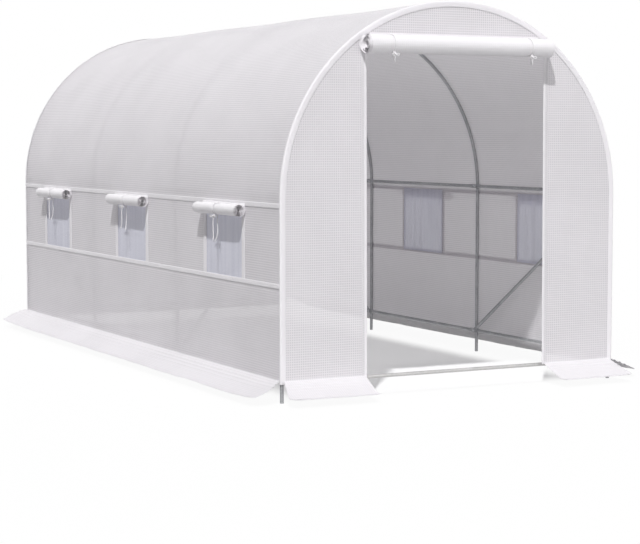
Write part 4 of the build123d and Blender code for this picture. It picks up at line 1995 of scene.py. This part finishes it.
@dataclass
class SteelFrame:
    """The steel frame's finish, and the bolts and wing nuts at its tabs."""

    finishes: Finishes
    layer_step: float = 0.0033
    purlin: float = 1.010
    rail: float = 0.130
    sill: float = 0.100
    bolt_radius: float = 0.003
    bolt_sides: int = 16
    wing_thickness: float = 0.0018

    def paint(self) -> None:
        """Give every steel node its galvanised finish, the sill a lighter copy of it, painted light for the
        fuller light that the sill lies in out in the open.
        """
        for item in frame["record"]["subparts"]:
            if item["material_slot"] != "galvanised_tube":
                continue
            node = frame["nodes"][item["node"]]
            for slot in node.material_slots:
                slot.material = self.finishes.sill if item["node"] == "door_sill" else self.finishes.tube

    def bolt_shape(self, layers: int) -> bpy.types.Object:
        """A bolt through a hoop and so many tabs, with a wing nut: its head at the origin, its end on +Z."""
        stack = 2 * TUNNEL.tube_radius + 0.0003 + layers * self.layer_step
        work = bmesh.new()
        profile = [
            (0.0, 0.0015),
            (0.0032, 0.0013),
            (0.0052, 0.0004),
            (0.0056, -0.0002),
            (self.bolt_radius, -0.0004),
            (self.bolt_radius, -stack),
        ]
        nut = [
            (0.0058, -stack),
            (0.0060, -stack - 0.0006),
            (0.0048, -stack - 0.0052),
            (0.0044, -stack - 0.0056),
            (self.bolt_radius, -stack - 0.0056),
        ]
        threads = []
        depth = -stack - 0.0056
        for i in range(5):
            threads.append((self.bolt_radius, depth - 0.0004 - i * 0.001))
            threads.append((self.bolt_radius * 0.86, depth - 0.0009 - i * 0.001))
        tip = [(self.bolt_radius * 0.8, depth - 0.0058), (0.0, depth - 0.006)]
        rings = []
        for radius, height in [*profile, *nut, *threads, *tip]:
            if radius == 0.0:
                rings.append([work.verts.new((0, 0, height))])
            else:
                rings.append([work.verts.new((a, b, height)) for a, b in circle(radius, self.bolt_sides)])
        for ring, following in pairwise(rings):
            for j in range(self.bolt_sides):
                k = (j + 1) % self.bolt_sides
                if len(ring) == 1:
                    work.faces.new((ring[0], following[k], following[j]))
                elif len(following) == 1:
                    work.faces.new((ring[j], ring[k], following[0]))
                else:
                    work.faces.new((ring[j], ring[k], following[k], following[j]))
        half = self.wing_thickness / 2
        for way in (-1, 1):
            front = [work.verts.new((way * a, half, b - stack)) for a, b in WING]
            back = [work.verts.new((way * a, -half, b - stack)) for a, b in WING]
            work.faces.new(front)
            work.faces.new(back[::-1])
            for j in range(len(WING)):
                k = (j + 1) % len(WING)
                work.faces.new((front[j], back[j], back[k], front[k]))
        bmesh.ops.recalc_face_normals(work, faces=work.faces)
        return put(f"bolt_{layers}", close(work, "bolt", smooth=False))

    def points(self) -> dict[int, list[tuple[Vector, Vector]]]:
        """Where each bolt's head lies on the outside of its hoop, and the way it looks, by the tabs on it."""
        found: dict[int, list[tuple[Vector, Vector]]] = {1: [], 2: [], 3: []}
        outside = TUNNEL.hoop_line + TUNNEL.tube_radius
        for i, y in enumerate(TUNNEL.hoops):
            middle = i in (1, 2)
            for side in Side:
                out = Vector((side.value, 0, 0))
                found[2].append((out * outside + Vector((0, y, self.purlin)), out))
                found[3 if middle else 1].append((out * outside + Vector((0, y, self.rail)), out))
            found[2 if middle else 1].append((Vector((0, y, TUNNEL.spring + outside)), UP))
        edge = TUNNEL.hoops[3] + TUNNEL.tube_radius
        for end in End:
            for side in Side:
                out = Vector((0, end.value, 0))
                found[1].append((out * edge + Vector((side.value * TUNNEL.hoop_line, 0, self.sill)), out))
        return found

    def build(self) -> None:
        """Finish the frame and set its bolts."""
        self.paint()
        tree = Fastener()
        for layers, spots in self.points().items():
            seeds = bpy.data.meshes.new("bolt_points")
            seeds.from_pydata([spot for spot, facing in spots], [], [])
            facing = seeds.attributes.new(FACING, "FLOAT_VECTOR", "POINT")
            for item, (spot, way) in zip(facing.data, spots):
                item.vector = way
            shape = self.bolt_shape(layers)
            bolts = tree.grow(f"wing_bolts_{layers}", seeds, Bolt=shape, Finish=self.finishes.fastener)
            bpy.data.objects.remove(shape)
            hand_over(bolts, "galvanised_tube")


@dataclass
class Studio:
    """The floor, the light and the camera."""

    place: tuple[float, float, float] = (-4.7517, -9.6776, 1.3254)
    yaw: float = 0.4772
    pitch: float = 0.0787
    lens: float = 98.47
    sun_way: tuple[float, float, float] = (0.34, 0.455, -0.823)
    sun_strength: float = 3.05
    sky_strength: float = 0.225
    fill_way: tuple[float, float, float] = (-0.33, 0.94, 0.06)
    fill_strength: float = 0.58
    low_place: tuple[float, float, float] = (0.6, -5.2, 0.12)
    low_target: tuple[float, float, float] = (0.0, -2.0, 1.75)
    low_size: tuple[float, float] = (3.4, 1.5)
    low_power: float = 4.0
    under_way: tuple[float, float, float] = (-0.05, 0.2, 0.97)
    under_strength: float = 1.0
    floor_reach: float = 120.0
    floor_height: float = -0.0015
    floor_dull: float = 0.42
    floor_pale: float = 0.90

    def set_camera(self) -> None:
        """Create the camera and look through it."""
        camera = bpy.data.cameras.new("camera")
        camera.lens = self.lens
        camera.clip_end = 300
        holder = bpy.data.objects.new("camera", camera)
        bpy.context.scene.collection.objects.link(holder)
        look = Vector(
            (
                math.sin(self.yaw) * math.cos(self.pitch),
                math.cos(self.yaw) * math.cos(self.pitch),
                -math.sin(self.pitch),
            )
        )
        turn = look.to_track_quat("-Z", "Y").to_matrix().to_4x4()
        holder.matrix_world = Matrix.Translation(self.place) @ turn
        bpy.context.scene.camera = holder

    @staticmethod
    def add_lamp(name: str, kind: str, way: Vector, strength: float) -> bpy.types.Object:
        """Create a lamp that shines along a direction."""
        lamp = bpy.data.lights.new(name, kind)
        lamp.energy = strength
        holder = bpy.data.objects.new(name, lamp)
        holder.rotation_euler = way.to_track_quat("-Z", "Y").to_euler()
        bpy.context.scene.collection.objects.link(holder)
        return holder

    def set_light(self) -> None:
        """Create the sun, the fills and the even sky."""
        for name, way, strength, angle in (
            ("sun", self.sun_way, self.sun_strength, 2),
            ("front_fill", self.fill_way, self.fill_strength, 40),
            ("floor_fill", self.under_way, self.under_strength, 70),
        ):
            sun = self.add_lamp(name, "SUN", Vector(way), strength).data
            sun.angle = math.radians(angle)
        aim = Vector(self.low_target) - Vector(self.low_place)
        holder = self.add_lamp("low_fill", "AREA", aim, self.low_power)
        holder.location = self.low_place
        holder.visible_camera = False
        panel = holder.data
        panel.shape = "RECTANGLE"
        panel.size, panel.size_y = self.low_size
        world = bpy.data.worlds.new("sky")
        world.use_nodes = True
        bpy.context.scene.world = world
        sky = Graph(world.node_tree)
        ray = sky.node("ShaderNodeLightPath", output="Is Camera Ray")
        seen = ray.larger(self.mirrored(sky, ray))
        kind = "ShaderNodeBackground"
        soft = sky.node(kind, None, {"Color": (0.97, 0.98, 1.0), "Strength": self.sky_strength})
        white = sky.node(kind, None, {"Color": (1.0, 1.0, 1.0), "Strength": 1.0})
        sky.node("ShaderNodeOutputWorld", None, {"Surface": sky.mixed(seen, soft, white)})

    @staticmethod
    def mirrored(graph: Graph, ray: Signal) -> Signal:
        """1 on rays that come off metal or through glass, and 0 on those scattered by cloth."""
        outputs = ray.socket.node.outputs
        clear = Signal(graph, outputs["Is Transmission Ray"]) - Signal(graph, outputs["Is Diffuse Ray"])
        return Signal(graph, outputs["Is Glossy Ray"]).larger(clear)

    def set_floor(self) -> None:
        """Create the floor: white where the eye sees it, keeping the shadow, and greyer to the light."""
        work = bmesh.new()
        reach, height = self.floor_reach, self.floor_height
        corners = ((-reach, -reach), (reach, -reach), (reach, reach), (-reach, reach))
        work.faces.new([work.verts.new((x, y, height)) for x, y in corners])
        paint = Paint("pale_floor")
        ray = paint.node("ShaderNodeLightPath", output="Is Camera Ray")
        seen = ray.larger(self.mirrored(paint, ray))
        dull = paint.node("ShaderNodeBsdfDiffuse", None, {"Color": [self.floor_dull] * 3})
        pale = paint.node("ShaderNodeBsdfDiffuse", None, {"Color": [self.floor_pale] * 3})
        white = paint.node("ShaderNodeEmission", None, {"Color": (1.0, 1.0, 1.0), "Strength": 1.0})
        across, along = (abs(part) for part in paint.split(paint.place()))
        outside = across.fade(0.70, 0.92).larger(along.fade(1.70, 1.98))
        far = across.fade(1.4, 4.0).larger(along.fade(2.4, 6.0))
        whiteness = 0.30 + 0.64 * outside + 0.06 * far
        near = paint.mixed(seen, dull, pale)
        floor = put("floor", close(work, "floor"), paint.finish(paint.mixed(whiteness * seen, near, white)))
        floor.visible_shadow = False

    def build(self) -> None:
        """Set up the studio."""
        bpy.context.scene.view_settings.view_transform = "Standard"
        self.set_camera()
        self.set_light()
        self.set_floor()


def main() -> None:
    """Build the studio and every sub-assembly, the camera and the cords first."""
    logging.basicConfig(level=logging.INFO, format="%(name)s %(message)s")
    Studio().build()
    finishes = Finishes.make()
    DoorCover(finishes).build()
    WindowCovers(finishes).build()
    sewing = Sewing(finishes, Stitcher())
    RoofCover(finishes).build()
    for side in Side:
        SideWall(side, finishes, sewing).build()
    for end in End:
        EndWall(end, finishes, sewing).build()
        EdgeBinding(end, finishes, sewing).build()
    Skirts(finishes).build()
    SteelFrame(finishes).build()


if __name__ == "__main__":
    main()
